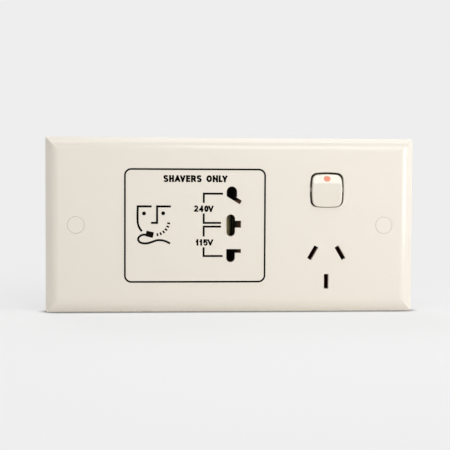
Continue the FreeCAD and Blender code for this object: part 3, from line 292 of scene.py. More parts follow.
@dataclass(frozen=True)
class RolledMetal:
    """Rolled or drawn metal: fine lines along one axis, a soft stain and a gloss that follows the lines.

    Real rolling lines are finer than a tenth of a millimetre, and are drawn coarser so that they show.
    """

    name: str
    colour: str
    stain: str
    roughness: float
    smoother: float = 0.1
    rougher: float = 0.12
    line_mm: float = 0.25
    line_detail: float = 2.0
    line_strength: float = 0.15
    line_height_mm: float = 0.05
    stretch: tuple[float, float, float] = (1.0, 1.0, 0.04)
    stain_mm: float = 5.0
    stain_detail: float = 4.0
    stain_range: tuple[float, float] = (0.45, 0.75)

    def build(self) -> bpy.types.Material:
        """Make the material from its values."""
        material, tree = empty_material(self.name)
        coordinates = add_node(tree, "ShaderNodeTexCoord").outputs["Object"]
        drawn = add_node(tree, "ShaderNodeMapping", {"Vector": coordinates, "Scale": self.stretch})
        lines = add_node(
            tree,
            "ShaderNodeTexNoise",
            {
                "Vector": drawn.outputs["Vector"],
                "Scale": per_metre(self.line_mm),
                "Detail": self.line_detail,
            },
        )
        stains = add_node(
            tree,
            "ShaderNodeTexNoise",
            {"Vector": coordinates, "Scale": per_metre(self.stain_mm), "Detail": self.stain_detail},
        )
        clean, stained = self.stain_range
        share = add_node(
            tree,
            "ShaderNodeMapRange",
            {"Value": stains.outputs["Fac"], "From Min": clean, "From Max": stained},
        )
        colour = add_node(
            tree,
            "ShaderNodeMix",
            {"Factor": share.outputs["Result"], COLOUR_A: linear(self.colour), COLOUR_B: linear(self.stain)},
            data_type="RGBA",
        )
        gloss = add_node(
            tree,
            "ShaderNodeMapRange",
            {
                "Value": lines.outputs["Fac"],
                "To Min": self.roughness - self.smoother,
                "To Max": self.roughness + self.rougher,
            },
        )
        bump = add_node(
            tree,
            "ShaderNodeBump",
            {
                "Height": lines.outputs["Fac"],
                "Strength": self.line_strength,
                "Distance": self.line_height_mm * MM,
            },
        )
        surface = add_node(
            tree,
            "ShaderNodeBsdfPrincipled",
            {
                "Base Color": colour.outputs[COLOUR_OUT],
                "Metallic": 1.0,
                "Roughness": gloss.outputs["Result"],
                "Normal": bump.outputs["Normal"],
            },
        )
        add_node(tree, "ShaderNodeOutputMaterial", {"Surface": surface.outputs["BSDF"]})
        return material


@dataclass(frozen=True)
class NickelWithPaintedLight:
    """Dull nickel plate with its light and shade painted on by place: a first tone, then painted shade, then
    brown at the springs' tips.

    The three tones follow each other from left to right, at places in millimetres from the plate's middle.
    """

    name: str
    painted_light: str
    dark: str
    brown: str
    painted_light_until_mm: float = 0.7
    dark_from_mm: float = 1.4
    dark_until_mm: float = 2.8
    brown_from_mm: float = 4.2
    metallic: float = 0.3
    roughness: float = 0.6
    roughness_spread: float = 0.1
    grain_mm: float = 0.4

    def build(self) -> bpy.types.Material:
        """Make the material from its values."""
        material, tree = empty_material(self.name)
        coordinates = add_node(tree, "ShaderNodeTexCoord").outputs["Object"]
        across = add_node(tree, "ShaderNodeSeparateXYZ", {"Vector": coordinates}).outputs["X"]
        # Painted light and shade in bands across X: the first tone, then painted shade, then brown
        colour = linear(self.painted_light)
        for shade, start, end in (
            (self.dark, self.painted_light_until_mm, self.dark_from_mm),
            (self.brown, self.dark_until_mm, self.brown_from_mm),
        ):
            share = add_node(
                tree, "ShaderNodeMapRange", {"Value": across, "From Min": start * MM, "From Max": end * MM}
            )
            mixed = add_node(
                tree,
                "ShaderNodeMix",
                {"Factor": share.outputs["Result"], COLOUR_A: colour, COLOUR_B: linear(shade)},
                data_type="RGBA",
            )
            colour = mixed.outputs[COLOUR_OUT]
        grain = add_node(
            tree, "ShaderNodeTexNoise", {"Vector": coordinates, "Scale": per_metre(self.grain_mm)}
        )
        gloss = add_node(
            tree,
            "ShaderNodeMapRange",
            {
                "Value": grain.outputs["Fac"],
                "To Min": self.roughness - self.roughness_spread,
                "To Max": self.roughness + self.roughness_spread,
            },
        )
        surface = add_node(
            tree,
            "ShaderNodeBsdfPrincipled",
            {"Base Color": colour, "Metallic": self.metallic, "Roughness": gloss.outputs["Result"]},
        )
        add_node(tree, "ShaderNodeOutputMaterial", {"Surface": surface.outputs["BSDF"]})
        return material


@dataclass(frozen=True)
class LayeredFinish:
    """Stacked sheets, wound wire or wrapped tape: parallel lines across one axis at the layer's own pitch.

    Each layer has a rounded ridge, and a darker line lies between two of them.
    """

    name: str
    colour: str
    gap_colour: str
    pitch_mm: float
    direction: Axis
    metallic: float
    roughness: float
    strength: float = 0.6
    gap_share: float = 0.35
    wear_mm: float = 4.0
    wear_detail: float = 4.0
    smoother: float = 0.08
    rougher: float = 0.12
    ridge_share: float = 0.2

    def build(self) -> bpy.types.Material:
        """Make the material from its values."""
        material, tree = empty_material(self.name)
        coordinates = add_node(tree, "ShaderNodeTexCoord").outputs["Object"]
        layers = add_node(
            tree,
            "ShaderNodeTexWave",
            {"Vector": coordinates, "Scale": per_metre(self.pitch_mm) * WAVE_PER_BAND},
            wave_type="BANDS",
            bands_direction=self.direction.value,
            wave_profile="SIN",
        )
        lines = add_node(
            tree, "ShaderNodeMapRange", {"Value": layers.outputs["Fac"], "From Max": self.gap_share}
        )
        wear = add_node(
            tree,
            "ShaderNodeTexNoise",
            {"Vector": coordinates, "Scale": per_metre(self.wear_mm), "Detail": self.wear_detail},
        )
        colour = add_node(
            tree,
            "ShaderNodeMix",
            {
                "Factor": lines.outputs["Result"],
                COLOUR_A: linear(self.gap_colour),
                COLOUR_B: linear(self.colour),
            },
            data_type="RGBA",
        )
        gloss = add_node(
            tree,
            "ShaderNodeMapRange",
            {
                "Value": wear.outputs["Fac"],
                "To Min": self.roughness - self.smoother,
                "To Max": self.roughness + self.rougher,
            },
        )
        bump = add_node(
            tree,
            "ShaderNodeBump",
            {
                "Height": layers.outputs["Fac"],
                "Strength": self.strength,
                "Distance": self.pitch_mm * self.ridge_share * MM,
            },
        )
        surface = add_node(
            tree,
            "ShaderNodeBsdfPrincipled",
            {
                "Base Color": colour.outputs[COLOUR_OUT],
                "Metallic": self.metallic,
                "Roughness": gloss.outputs["Result"],
                "Normal": bump.outputs["Normal"],
            },
        )
        add_node(tree, "ShaderNodeOutputMaterial", {"Surface": surface.outputs["BSDF"]})
        return material


@dataclass(frozen=True)
class PadPrintedInk:
    """Pad printed ink: near black, slightly uneven and less glossy than the moulding under it."""

    name: str = "pad_printed_black_ink"
    colour: str = "#080402"
    thin: str = "#100905"
    roughness: float = 0.6
    specular: float = 0.04
    speckle_mm: float = 0.7
    speckle_detail: float = 3.0
    bump_strength: float = 0.1
    bump_height_mm: float = 0.01

    def build(self) -> bpy.types.Material:
        """Make the material from its values."""
        material, tree = empty_material(self.name)
        coordinates = add_node(tree, "ShaderNodeTexCoord").outputs["Object"]
        speckle = add_node(
            tree,
            "ShaderNodeTexNoise",
            {"Vector": coordinates, "Scale": per_metre(self.speckle_mm), "Detail": self.speckle_detail},
        )
        colour = add_node(
            tree,
            "ShaderNodeMix",
            {"Factor": speckle.outputs["Fac"], COLOUR_A: linear(self.colour), COLOUR_B: linear(self.thin)},
            data_type="RGBA",
        )
        bump = add_node(
            tree,
            "ShaderNodeBump",
            {
                "Height": speckle.outputs["Fac"],
                "Strength": self.bump_strength,
                "Distance": self.bump_height_mm * MM,
            },
        )
        surface = add_node(
            tree,
            "ShaderNodeBsdfPrincipled",
            {
                "Base Color": colour.outputs[COLOUR_OUT],
                "Roughness": self.roughness,
                "Specular IOR Level": self.specular,
                "Normal": bump.outputs["Normal"],
            },
        )
        add_node(tree, "ShaderNodeOutputMaterial", {"Surface": surface.outputs["BSDF"]})
        return material


@dataclass(frozen=True)
class StudioPaper:
    """Matt pale paper of the floor: it takes the part's shadow close by, and fades to its own plain colour.

    The share of plain colour grows with the distance from the plate, so that the paper runs into the
    background with no edge between them. In the last millimetres before the plate, where less of the sky is
    open, the plain colour darkens to a contact shadow.
    """

    name: str = "matt_studio_paper"
    sheet: str = "#ffffff"
    colour: str = "#eeeeee"
    shadow_share: float = 0.3
    fade_from_mm: float = 130.0
    fade_to_mm: float = 330.0
    contact_mm: float = 6.0
    contact_open: float = 0.95
    contact_shut: float = 0.5
    contact_light: float = 0.0

    def build(self) -> bpy.types.Material:
        """Make the material from its values."""
        material, tree = empty_material(self.name)
        paper = add_node(tree, "ShaderNodeBsdfDiffuse", {"Color": linear(self.sheet)})
        around = add_node(tree, "ShaderNodeAmbientOcclusion", {"Distance": self.contact_mm * MM})
        contact = add_node(
            tree,
            "ShaderNodeMapRange",
            {
                "Value": around.outputs["AO"],
                "From Min": self.contact_shut,
                "From Max": self.contact_open,
                "To Min": self.contact_light,
                "To Max": 1.0,
            },
        )
        plain = add_node(
            tree,
            "ShaderNodeEmission",
            {"Color": linear(self.colour), "Strength": contact.outputs["Result"]},
        )
        coordinates = add_node(tree, "ShaderNodeTexCoord").outputs["Object"]
        distance = add_node(tree, "ShaderNodeVectorMath", {0: coordinates}, operation="LENGTH")
        share = add_node(
            tree,
            "ShaderNodeMapRange",
            {
                "Value": distance.outputs["Value"],
                "From Min": self.fade_from_mm * MM,
                "From Max": self.fade_to_mm * MM,
                "To Min": 1.0 - self.shadow_share,
                "To Max": 1.0,
            },
        )
        shown = add_node(
            tree,
            "ShaderNodeMath",
            {0: background_rays(tree), 1: share.outputs["Result"]},
            operation="MULTIPLY",
        )
        mixed = add_node(
            tree,
            "ShaderNodeMixShader",
            {"Fac": shown.outputs["Value"], 1: paper.outputs["BSDF"], 2: plain.outputs["Emission"]},
        )
        add_node(tree, "ShaderNodeOutputMaterial", {"Surface": mixed.outputs["Shader"]})
        return material


Finish = MouldedPlastic | RolledMetal | NickelWithPaintedLight | LayeredFinish

FINISHES: dict[Slot, Finish] = {
    # Urea moulding of the plate and caps: warm white, polished, with faint flow clouds
    Slot.PLATE: MouldedPlastic("polished_urea_moulding", "#ebe4d8", "#e9e2d6", 0.2, roughness_spread=0.002),
    # Rocker moulding: the same ivory, with a shine on top that whitens its upper facet
    Slot.ROCKER: MouldedPlastic(
        "polished_rocker_moulding",
        "#e7e1d3",
        "#e4ded0",
        0.24,
        roughness_spread=0.004,
        peel_mm=1.2,
        coat=0.8,
    ),
    # Dyed insert let into the rocker: salmon red, as a sun-faded dye
    Slot.INDICATOR: MouldedPlastic("dyed_red_insert", "#ee9473", "#e67c5a", 0.3, cloud_mm=3.0, peel_mm=0.6),
    # Body of the outlet: dark moulding straight from a spark-eroded tool, black in the gaps and slots
    Slot.BODY: MouldedPlastic(
        "spark_eroded_dark_moulding", "#24211f", "#1d1a18", 0.55, peel_mm=0.5, peel_strength=0.12
    ),
    # Transformer case: grey fibre-filled moulding with a dull, slightly rough skin
    Slot.CASE: MouldedPlastic(
        "fibre_filled_grey_moulding", "#bfc0bc", "#b3b4b0", 0.56, peel_mm=0.7, peel_strength=0.16
    ),
    # Shaver contact block: dark brown phenolic, dull where it shows in the cells
    Slot.BLOCK: MouldedPlastic("brown_phenolic_moulding", "#6e4a34", "#5e3e2b", 0.6, cloud_mm=6.0),
    # Bobbin and thermal cut-out: black nylon with a half-gloss face
    Slot.BOBBIN: MouldedPlastic("black_nylon_moulding", "#26272a", "#1e1f21", 0.5, cloud_mm=8.0),
    # Springs and links of the switch and the outlet: warm bronze strip with upright lines
    Slot.BRONZE: RolledMetal("rolled_phosphor_bronze", "#b98652", "#8f6238", 0.32),
    # Shaver contacts: dull nickel painted nearly black as the shade in their cells, with brown tips behind
    # the narrow slots
    Slot.NICKEL: NickelWithPaintedLight("dull_nickel_with_painted_shade", "#0d0b08", "#060403", "#6a4a33"),
    # Contact tips: bright silver with a grain too fine to follow
    Slot.SILVER: RolledMetal("silver_contact_face", "#dedcd6", "#c9c6bd", 0.25, line_mm=0.15),
    # Terminals: yellow brass bar, its lines from front to back
    Slot.BRASS: RolledMetal("extruded_brass_bar", "#cda95c", "#a9853f", 0.3, stretch=(1.0, 0.05, 1.0)),
    # Screws: bluish zinc plate whose grain runs no way in particular
    Slot.STEEL: RolledMetal("zinc_plated_steel", "#c9ccd0", "#b3b09f", 0.28, stretch=(1.0, 1.0, 1.0)),
    # Core: stacked sheets half a millimetre thick, whose edges show as fine grey lines
    Slot.CORE: LayeredFinish("stacked_silicon_steel", "#5d6066", "#26272a", 0.5, Axis.Y, 0.8, 0.45),
    # Windings: enamelled wire in copper red, turn beside turn
    Slot.COPPER: LayeredFinish("enamelled_copper_winding", "#a8552c", "#4a2110", 0.35, Axis.X, 0.9, 0.3),
    # Tapes round the windings: glossy yellow film with a low step at each overlap
    Slot.TAPE: LayeredFinish(
        "wrapped_polyester_tape", "#d9b83a", "#b08f22", 6.0, Axis.X, 0.0, 0.35, strength=0.2
    ),
    # Extruded sleeves of the leads: soft sheen with a faint drawn grain
    Slot.RED_LEAD: MouldedPlastic(
        "red_extruded_sleeve", "#b3261f", "#a2201a", 0.42, cloud_mm=4.0, peel_mm=0.5
    ),
    Slot.BLACK_LEAD: MouldedPlastic(
        "black_extruded_sleeve", "#1b1b1c", "#131314", 0.42, cloud_mm=4.0, peel_mm=0.5
    ),
    Slot.WHITE_LEAD: MouldedPlastic(
        "white_extruded_sleeve", "#dcdad2", "#d1cfc6", 0.42, cloud_mm=4.0, peel_mm=0.5
    ),
}


def mesh_piece(
    name: str, vertices: Points, faces: Points, body: Body, material: bpy.types.Material
) -> bpy.types.Object:
    """Make one piece of the part from arrays.

    Args:
        name: the piece's name.
        vertices: rows of x, y and z in millimetres.
        faces: rows of corner numbers.
        body: the moving body that it rides on.
        material: its finish.

    Returns:
        The new object, with its place in its mesh.
    """
    mesh = bpy.data.meshes.new(name)
    mesh.from_pydata((vertices * MM).tolist(), [], faces.tolist())
    mesh.validate()
    mesh.update()
    mesh.materials.append(material)
    piece = bpy.data.objects.new(name, mesh)
    bpy.context.scene.collection.objects.link(piece)
    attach(piece, body.value)
    LOG.info("%s: %d faces on %s", name, len(mesh.polygons), body.value)
    return piece


def grid_faces(rows: int, columns: int, closed_rows: bool, closed_columns: bool) -> Points:
    """Quads over a grid of points that is stored row after row.

    They face outward where the profile's points run counter-clockwise, seen along the path.

    Args:
        rows: number of points along the path.
        columns: number of points round the profile.
        closed_rows: whether the last row joins the first.
        closed_columns: whether the last column joins the first.

    Returns:
        Rows of four corner numbers.
    """
    row = np.arange(rows if closed_rows else rows - 1)[:, None]
    column = np.arange(columns if closed_columns else columns - 1)[None, :]
    next_row = (row + 1) % rows
    next_column = (column + 1) % columns
    start, end = row * columns, next_row * columns
    quad = (start + column, end + column, end + next_column, start + next_column)
    return np.stack(quad, axis=-1).reshape(-1, len(quad))


@dataclass(frozen=True)
class InkLayer:
    """Where the ink lies and how thick it is: strokes and filled shapes on the plate's front.

    A stroke is a flat strip carried along a path. At each point the strip turns to the mean of the two runs
    that meet there, and is widened by one over the cosine of half the turn, so its width stays the same.
    """

    surface_y: float
    thickness: float = 0.03
    hole_share: float = 0.02

    @staticmethod
    def rings(sides: tuple[tuple[Points, float], ...]) -> Points:
        """Vertices of a strip, one ring across it after another.

        Args:
            sides: the strip's long edges, each as rows of x and z and its own y.

        Returns:
            Rows of x, y and z.
        """
        return np.stack([np.insert(side, 1, y, axis=1) for side, y in sides], axis=1).reshape(-1, 3)

    def stroke(self, path: Points, width: float, closed: bool = False) -> tuple[Points, Points]:
        """Strip of ink along a path.

        Args:
            path: rows of x and z in millimetres.
            width: the line's width.
            closed: whether the path's end joins its start.

        Returns:
            Vertices and faces of a closed strip.
        """
        run = np.roll(path, -1, axis=0) - path
        run /= np.linalg.norm(run, axis=1, keepdims=True)
        back = np.roll(run, 1, axis=0)
        if not closed:
            run[-1] = back[-1]
            back[0] = run[0]
        along = run + back
        along /= np.linalg.norm(along, axis=1, keepdims=True)
        spread = width / 2 / np.sum(along * run, axis=1, keepdims=True)
        across = np.stack([-along[:, 1], along[:, 0]], axis=1) * spread
        low, high = self.surface_y, self.surface_y - self.thickness
        sides = ((path - across, low), (path - across, high), (path + across, high), (path + across, low))
        vertices = self.rings(sides)
        faces = grid_faces(len(path), len(sides), closed, True)
        if not closed:
            cap = np.arange(len(sides))
            faces = np.vstack([faces, cap, len(vertices) - len(sides) + cap[::-1]])
        return vertices, faces

    def filled(self, outline: Points) -> tuple[Points, Points]:
        """Ink inside a convex outline, as a ring from the outline to a copy of it too small to show.

        Args:
            outline: rows of x and z, counter-clockwise.

        Returns:
            Vertices and faces of a closed ring.
        """
        middle = outline.mean(axis=0)
        inner = middle + (outline - middle) * self.hole_share
        low, high = self.surface_y, self.surface_y - self.thickness
        sides = ((outline, low), (outline, high), (inner, high), (inner, low))
        return self.rings(sides), grid_faces(len(outline), len(sides), True, True)


def joined(shapes: list[tuple[Points, Points]]) -> tuple[Points, Points]:
    """Put several shapes into one set of vertices and faces.

    Args:
        shapes: vertices and faces of each shape.

    Returns:
        All vertices and faces, with the corner numbers shifted.
    """
    starts = np.cumsum([0] + [len(vertices) for vertices, _ in shapes[:-1]])
    vertices = np.vstack([vertices for vertices, _ in shapes])
    faces = np.vstack([faces + start for (_, faces), start in zip(shapes, starts)])
    return vertices, faces


def smooth_path(points: Points, samples: int = 8) -> Points:
    """Catmull-Rom curve through the points.

    Each span is the cubic that leaves and meets its ends along the chord of the points on either side.

    Args:
        points: rows of x and z.
        samples: points per span.

    Returns:
        Rows of x and z along the curve.
    """
    padded = np.vstack([2 * points[0] - points[1], points, 2 * points[-1] - points[-2]])
    t = np.linspace(0, 1, samples, endpoint=False)[:, None]
    before, start, end, after = padded[:-3], padded[1:-2], padded[2:-1], padded[3:]
    cubic = [
        2 * start,
        end - before,
        2 * before - 5 * start + 4 * end - after,
        3 * start - before - 3 * end + after,
    ]
    spans = sum(c[:, None, :] * t[None] ** power for power, c in enumerate(cubic)) / 2
    return np.vstack([spans.reshape(-1, 2), points[-1:]])


def ellipse(centre: tuple[float, float], radius: tuple[float, float], count: int = 24) -> Points:
    """Points on an ellipse, counter-clockwise from its right end."""
    angle = np.linspace(0, 2 * math.pi, count, endpoint=False)
    return np.stack([centre[0] + radius[0] * np.cos(angle), centre[1] + radius[1] * np.sin(angle)], axis=1)


@dataclass
class LegendFrame:
    """Line with round corners that frames the shaver outlet."""

    ink: InkLayer
    left: float = -52.27
    right: float = 16.62
    top: float = 27.47
    bottom: float = -27.95
    corner: float = 3.1
    corner_points: int = 9
    line: float = 0.86

    def outline(self) -> Points:
        """Rounded rectangle: a quarter circle at each corner, joined by straight runs.

        Returns:
            Rows of x and z, counter-clockwise.
        """
        right, left = self.right - self.corner, self.left + self.corner
        top, bottom = self.top - self.corner, self.bottom + self.corner
        centres = np.array([[right, top], [left, top], [left, bottom], [right, bottom]])
        quarter = np.linspace(0, math.pi / 2, self.corner_points)
        turns = quarter[None, :] + np.arange(len(centres))[:, None] * math.pi / 2
        arcs = centres[:, None, :] + self.corner * np.stack([np.cos(turns), np.sin(turns)], axis=-1)
        return arcs.reshape(-1, 2)

    def build(self, material: bpy.types.Material) -> None:
        """Print the frame."""
        strip = self.ink.stroke(self.outline(), self.line, closed=True)
        mesh_piece("legend_frame", *strip, Body.SOCKET, material)


@dataclass
class VoltageBrackets:
    """Lines that tie each voltage to its pair of apertures."""

    ink: InkLayer
    spine: float = -13.63
    line: float = 0.98
    upper: tuple[float, float, float, float] = (15.52, 10.94, 5.78, 1.12)
    upper_reach: tuple[float, float] = (-4.2, -5.1)
    lower: tuple[float, float, float, float] = (-0.72, -5.6, -10.9, -15.23)
    lower_reach: tuple[float, float] = (-5.1, -4.2)

    def build(self, material: bpy.types.Material) -> None:
        """Print both brackets, each as two angles with a gap for its number."""
        shapes = []
        for levels, reach in ((self.upper, self.upper_reach), (self.lower, self.lower_reach)):
            above = np.array([[reach[0], levels[0]], [self.spine, levels[0]], [self.spine, levels[1]]])
            below = np.array([[self.spine, levels[2]], [self.spine, levels[3]], [reach[1], levels[3]]])
            shapes += [self.ink.stroke(above, self.line), self.ink.stroke(below, self.line)]
        mesh_piece("legend_brackets", *joined(shapes), Body.SOCKET, material)


@dataclass
class ShaverSign:
    """Plain sign for a shaver outlet: a simple face in a few strokes, and a shaver with its lead."""

    ink: InkLayer
    line: float = 1.03
    head: tuple[tuple[float, float], ...] = (
        (-46.0, 9.65),
        (-46.1, 5.2),
        (-46.0, 1.4),
        (-45.4, -0.9),
        (-44.0, -3.05),
    )
    brow: tuple[tuple[float, float], ...] = ((-39.2, 9.18), (-46.4, 9.18))
    nose: tuple[tuple[float, float], ...] = ((-29.8, 9.18), (-36.55, 9.18), (-36.55, 1.1), (-39.5, 1.1))
    eyes: tuple[tuple[float, float], ...] = ((-42.95, 5.75), (-33.55, 5.82))
    eye_radius: float = 0.95
    shaver: tuple[float, float] = (-40.17, -4.5)
    shaver_half: tuple[float, float] = (1.85, 1.4)
    shaver_turn: float = -13.0
    lead: tuple[tuple[float, float], ...] = (
        (-41.9, -4.65),
        (-43.83, -4.85),
        (-45.26, -5.77),
        (-45.81, -6.89),
        (-45.26, -8.11),
        (-44.03, -8.79),
        (-42.4, -8.99),
        (-40.36, -8.72),
        (-36.9, -7.56),
        (-35.26, -7.4),
        (-33.63, -7.56),
        (-31.8, -8.17),
        (-30.16, -9.03),
    )
    stubble_centre: tuple[float, float] = (-37.43, 1.84)
    stubble_radius: float = 6.63
    stubble_from: float = -80.5
    stubble_to: float = -8.4
    stubble_count: int = 6
    stubble_length: float = 1.4
    stubble_width: float = 0.85

    def block(self) -> Points:
        """Rectangle turned by the shaver's angle.

        Returns:
            Rows of x and z, counter-clockwise.
        """
        turn = math.radians(self.shaver_turn)
        spin = np.array([[math.cos(turn), math.sin(turn)], [-math.sin(turn), math.cos(turn)]])
        return UNIT_SQUARE * self.shaver_half @ spin + self.shaver

    def stubble(self) -> list[Points]:
        """Short bars evenly spaced on an arc below the nose, each pointing to the arc's centre.

        Returns:
            Both ends of each bar.
        """
        angles = np.radians(np.linspace(self.stubble_from, self.stubble_to, self.stubble_count))
        aim = np.stack([np.cos(angles), np.sin(angles)], axis=1)
        reach = self.stubble_radius + np.array([-1, 1]) * self.stubble_length / 2
        return [self.stubble_centre + reach[:, None] * way for way in aim]

    def build(self, material: bpy.types.Material) -> None:
        """Print the sign."""
        shapes = [
            self.ink.stroke(np.array(self.brow), self.line),
            self.ink.stroke(smooth_path(np.array(self.head)), self.line),
            self.ink.stroke(np.array(self.nose), self.line),
            self.ink.stroke(smooth_path(np.array(self.lead)), self.line),
            self.ink.filled(self.block()),
        ]
        shapes += [self.ink.filled(ellipse(eye, (self.eye_radius, self.eye_radius))) for eye in self.eyes]
        shapes += [self.ink.stroke(bar, self.stubble_width) for bar in self.stubble()]
        mesh_piece("legend_shaver_sign", *joined(shapes), Body.SOCKET, material)


@dataclass(frozen=True)
class Letter:
    """A plain bold letter: its width as a share of its height, and the centre lines of its strokes.

    Places are shares of the box round the centre lines. Runs keep their corners, curves are smooth through
    their points, and a ring is a round closed stroke that fills the box.
    """

    width: float
    runs: tuple[tuple[tuple[float, float], ...], ...] = ()
    curves: tuple[tuple[tuple[float, float], ...], ...] = ()
    ring: bool = False


LETTERS: dict[str, Letter] = {
    "A": Letter(0.9, (((0, 0), (0.5, 1)), ((0.5, 1), (1, 0)), ((0.25, 0.28), (0.75, 0.28)))),
    "E": Letter(0.68, (((0, 0), (0, 1)), ((0, 1), (1, 1)), ((0, 0.52), (0.9, 0.52)), ((0, 0), (1, 0)))),
    "H": Letter(0.78, (((0, 0), (0, 1)), ((1, 0), (1, 1)), ((0, 0.52), (1, 0.52)))),
    "L": Letter(0.64, (((0, 1), (0, 0)), ((0, 0), (1, 0)))),
    "N": Letter(0.88, (((0, 0), (0, 1)), ((0, 1), (1, 0)), ((1, 0), (1, 1)))),
    "O": Letter(0.92, ring=True),
    "R": Letter(
        0.8,
        (((0, 0), (0, 1)), ((0, 1), (0.6, 1)), ((0, 0.46), (0.6, 0.46)), ((0.6, 0.46), (1, 0))),
        (((0.6, 1), (0.92, 0.92), (0.98, 0.73), (0.92, 0.54), (0.6, 0.46)),),
    ),
    "S": Letter(
        0.8,
        curves=(
            (
                (1, 0.86),
                (0.8, 1),
                (0.45, 1.04),
                (0.08, 0.96),
                (0, 0.77),
                (0.15, 0.6),
                (0.85, 0.42),
                (1, 0.24),
                (0.9, 0.04),
                (0.55, -0.04),
                (0.2, 0),
                (0, 0.14),
            ),
        ),
    ),
    "V": Letter(0.86, (((0, 1), (0.5, 0)), ((0.5, 0), (1, 1)))),
    "Y": Letter(0.86, (((0, 1), (0.5, 0.42)), ((0.5, 0.42), (1, 1)), ((0.5, 0.42), (0.5, 0)))),
    "0": Letter(0.68, ring=True),
    "1": Letter(0.46, (((0.75, 0), (0.75, 1)), ((0.75, 0.92), (0.05, 0.74)))),
    "2": Letter(
        0.7,
        (((0, 0), (1, 0)),),
        (((0, 0.8), (0.15, 1), (0.5, 1.04), (0.88, 0.97), (1, 0.74), (0.82, 0.48), (0.3, 0.2), (0.05, 0)),),
    ),
    "4": Letter(0.74, (((0.76, 0), (0.76, 1)), ((0.76, 1), (0, 0.28)), ((0, 0.28), (1, 0.28)))),
    "5": Letter(
        0.7,
        (((0.95, 1), (0.15, 1)), ((0.15, 1), (0.06, 0.5))),
        (((0.06, 0.5), (0.5, 0.64), (0.92, 0.55), (1, 0.3), (0.86, 0.02), (0.45, -0.04), (0, 0.08)),),
    ),
}


@dataclass(frozen=True)
class Word:
    """One printed word in plain bold letters that fill the width from left to right."""

    text: str
    left: float
    right: float
    baseline: float
    height: float
    stem: float = 0.99
    arm: float = 0.82
    bend: float = 0.92
    leaning: float = 0.6
    gap: float = 0.3
    tuck: float = 0.5
    tucked: tuple[str, ...] = ("AV", "LY", "0V", "5V")
    curve_samples: int = 5

    def places(self) -> list[tuple[str, float, float]]:
        """Left side and width of each letter, with open pairs tucked together.

        Returns:
            The letter, its left side and its width.
        """
        pairs = [first + second for first, second in zip(self.text, self.text[1:])]
        gaps = [self.gap - (self.tuck if pair in self.tucked else 0.0) for pair in pairs]
        natural = sum(LETTERS[letter].width for letter in self.text)
        share = (self.right - self.left - sum(gaps)) / natural
        found = []
        x = self.left
        for letter, gap in zip(self.text, [*gaps, 0.0]):
            width = LETTERS[letter].width * share
            found.append((letter, x, width))
            x += width + gap
        return found

    def strokes(self, ink: InkLayer) -> tuple[Points, Points]:
        """Strips of all the letters: upright strokes and rings as stems, flat and slanting ones as arms.

        Straight strokes run on by half a stem, and everything is cut level at the top and at the baseline.

        Args:
            ink: the layer that the strips lie in.

        Returns:
            Vertices and faces.
        """
        shapes = []
        half = self.stem / 2
        for letter, left, width in self.places():
            low = np.array([left + half, self.baseline + half])
            size = np.array([width - self.stem, self.height - self.stem])
            drawn = LETTERS[letter]
            for run in drawn.runs:
                path = low + np.array(run) * size
                ends = path[[0, -1]] - path[[1, -2]]
                path[[0, -1]] += ends / np.linalg.norm(ends, axis=1, keepdims=True) * half
                flat = run[0][1] == run[1][1] or abs(run[1][0] - run[0][0]) > self.leaning
                shapes.append(ink.stroke(path, self.arm if flat else self.stem))
            for curve in drawn.curves:
                path = smooth_path(low + np.array(curve) * size, self.curve_samples)
                shapes.append(ink.stroke(path, self.bend))
            if drawn.ring:
                middle, radius = low + size / 2, size / 2
                shapes.append(ink.stroke(ellipse(tuple(middle), tuple(radius)), self.stem, closed=True))
        vertices, faces = joined(shapes)
        vertices[:, 2] = vertices[:, 2].clip(self.baseline, self.baseline + self.height)
        return vertices, faces


@dataclass
class Legends:
    """Words beside the apertures: the use of the outlet and the two voltages."""

    ink: InkLayer
    words: tuple[Word, ...] = (
        Word("SHAVERS", -33.5, -14.7, 21.15, 3.4),
        Word("ONLY", -12.4, -2.0, 21.15, 3.4),
        Word("240V", -18.5, -8.8, 6.5, 3.2, stem=0.92, arm=0.72, bend=0.8),
        Word("115V", -17.6, -8.9, -10.1, 3.2, stem=0.92, arm=0.72, bend=0.76),
    )

    def build(self, material: bpy.types.Material) -> None:
        """Print each word."""
        for word in self.words:
            mesh_piece(f"legend_{word.text.lower()}", *word.strokes(self.ink), Body.SOCKET, material)


# The contact that both voltages share has painted light: olive grey on its left, where light falls into its
# cell, then painted shade and brown
PAINTED_LIGHT_CONTACT: dict[str, Finish] = {
    "contact_common": NickelWithPaintedLight("nickel_with_painted_light", "#dcd3a0", "#060403", "#5c3f2b"),
}


@dataclass
class Dressing:
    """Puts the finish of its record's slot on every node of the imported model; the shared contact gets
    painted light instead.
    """

    materials: dict[Slot, bpy.types.Material] = field(default_factory=dict)

    def build(self, frame: dict[str, object]) -> None:
        """Dress each node.
        """
        self.materials = {slot: finish.build() for slot, finish in FINISHES.items()}
        painted_light = {node: finish.build() for node, finish in PAINTED_LIGHT_CONTACT.items()}
        for part in frame["record"]["subparts"]:
            node = frame["nodes"][part["node"]]
            # The shared contact takes its painted light in place of its slot's finish
            material = painted_light.get(part["node"], self.materials[Slot(part["material_slot"])])
            if not node.material_slots:
                node.data.materials.append(material)
            for place in node.material_slots:
                place.material = material
            LOG.info("%s: %s", part["node"], material.name)


@dataclass(frozen=True)
class SoftBox:
    """One lamp: its place, its power in watts and the two sides of its panel."""

    name: str
    place: tuple[float, float, float]
    power: float
    width: float
    depth: float


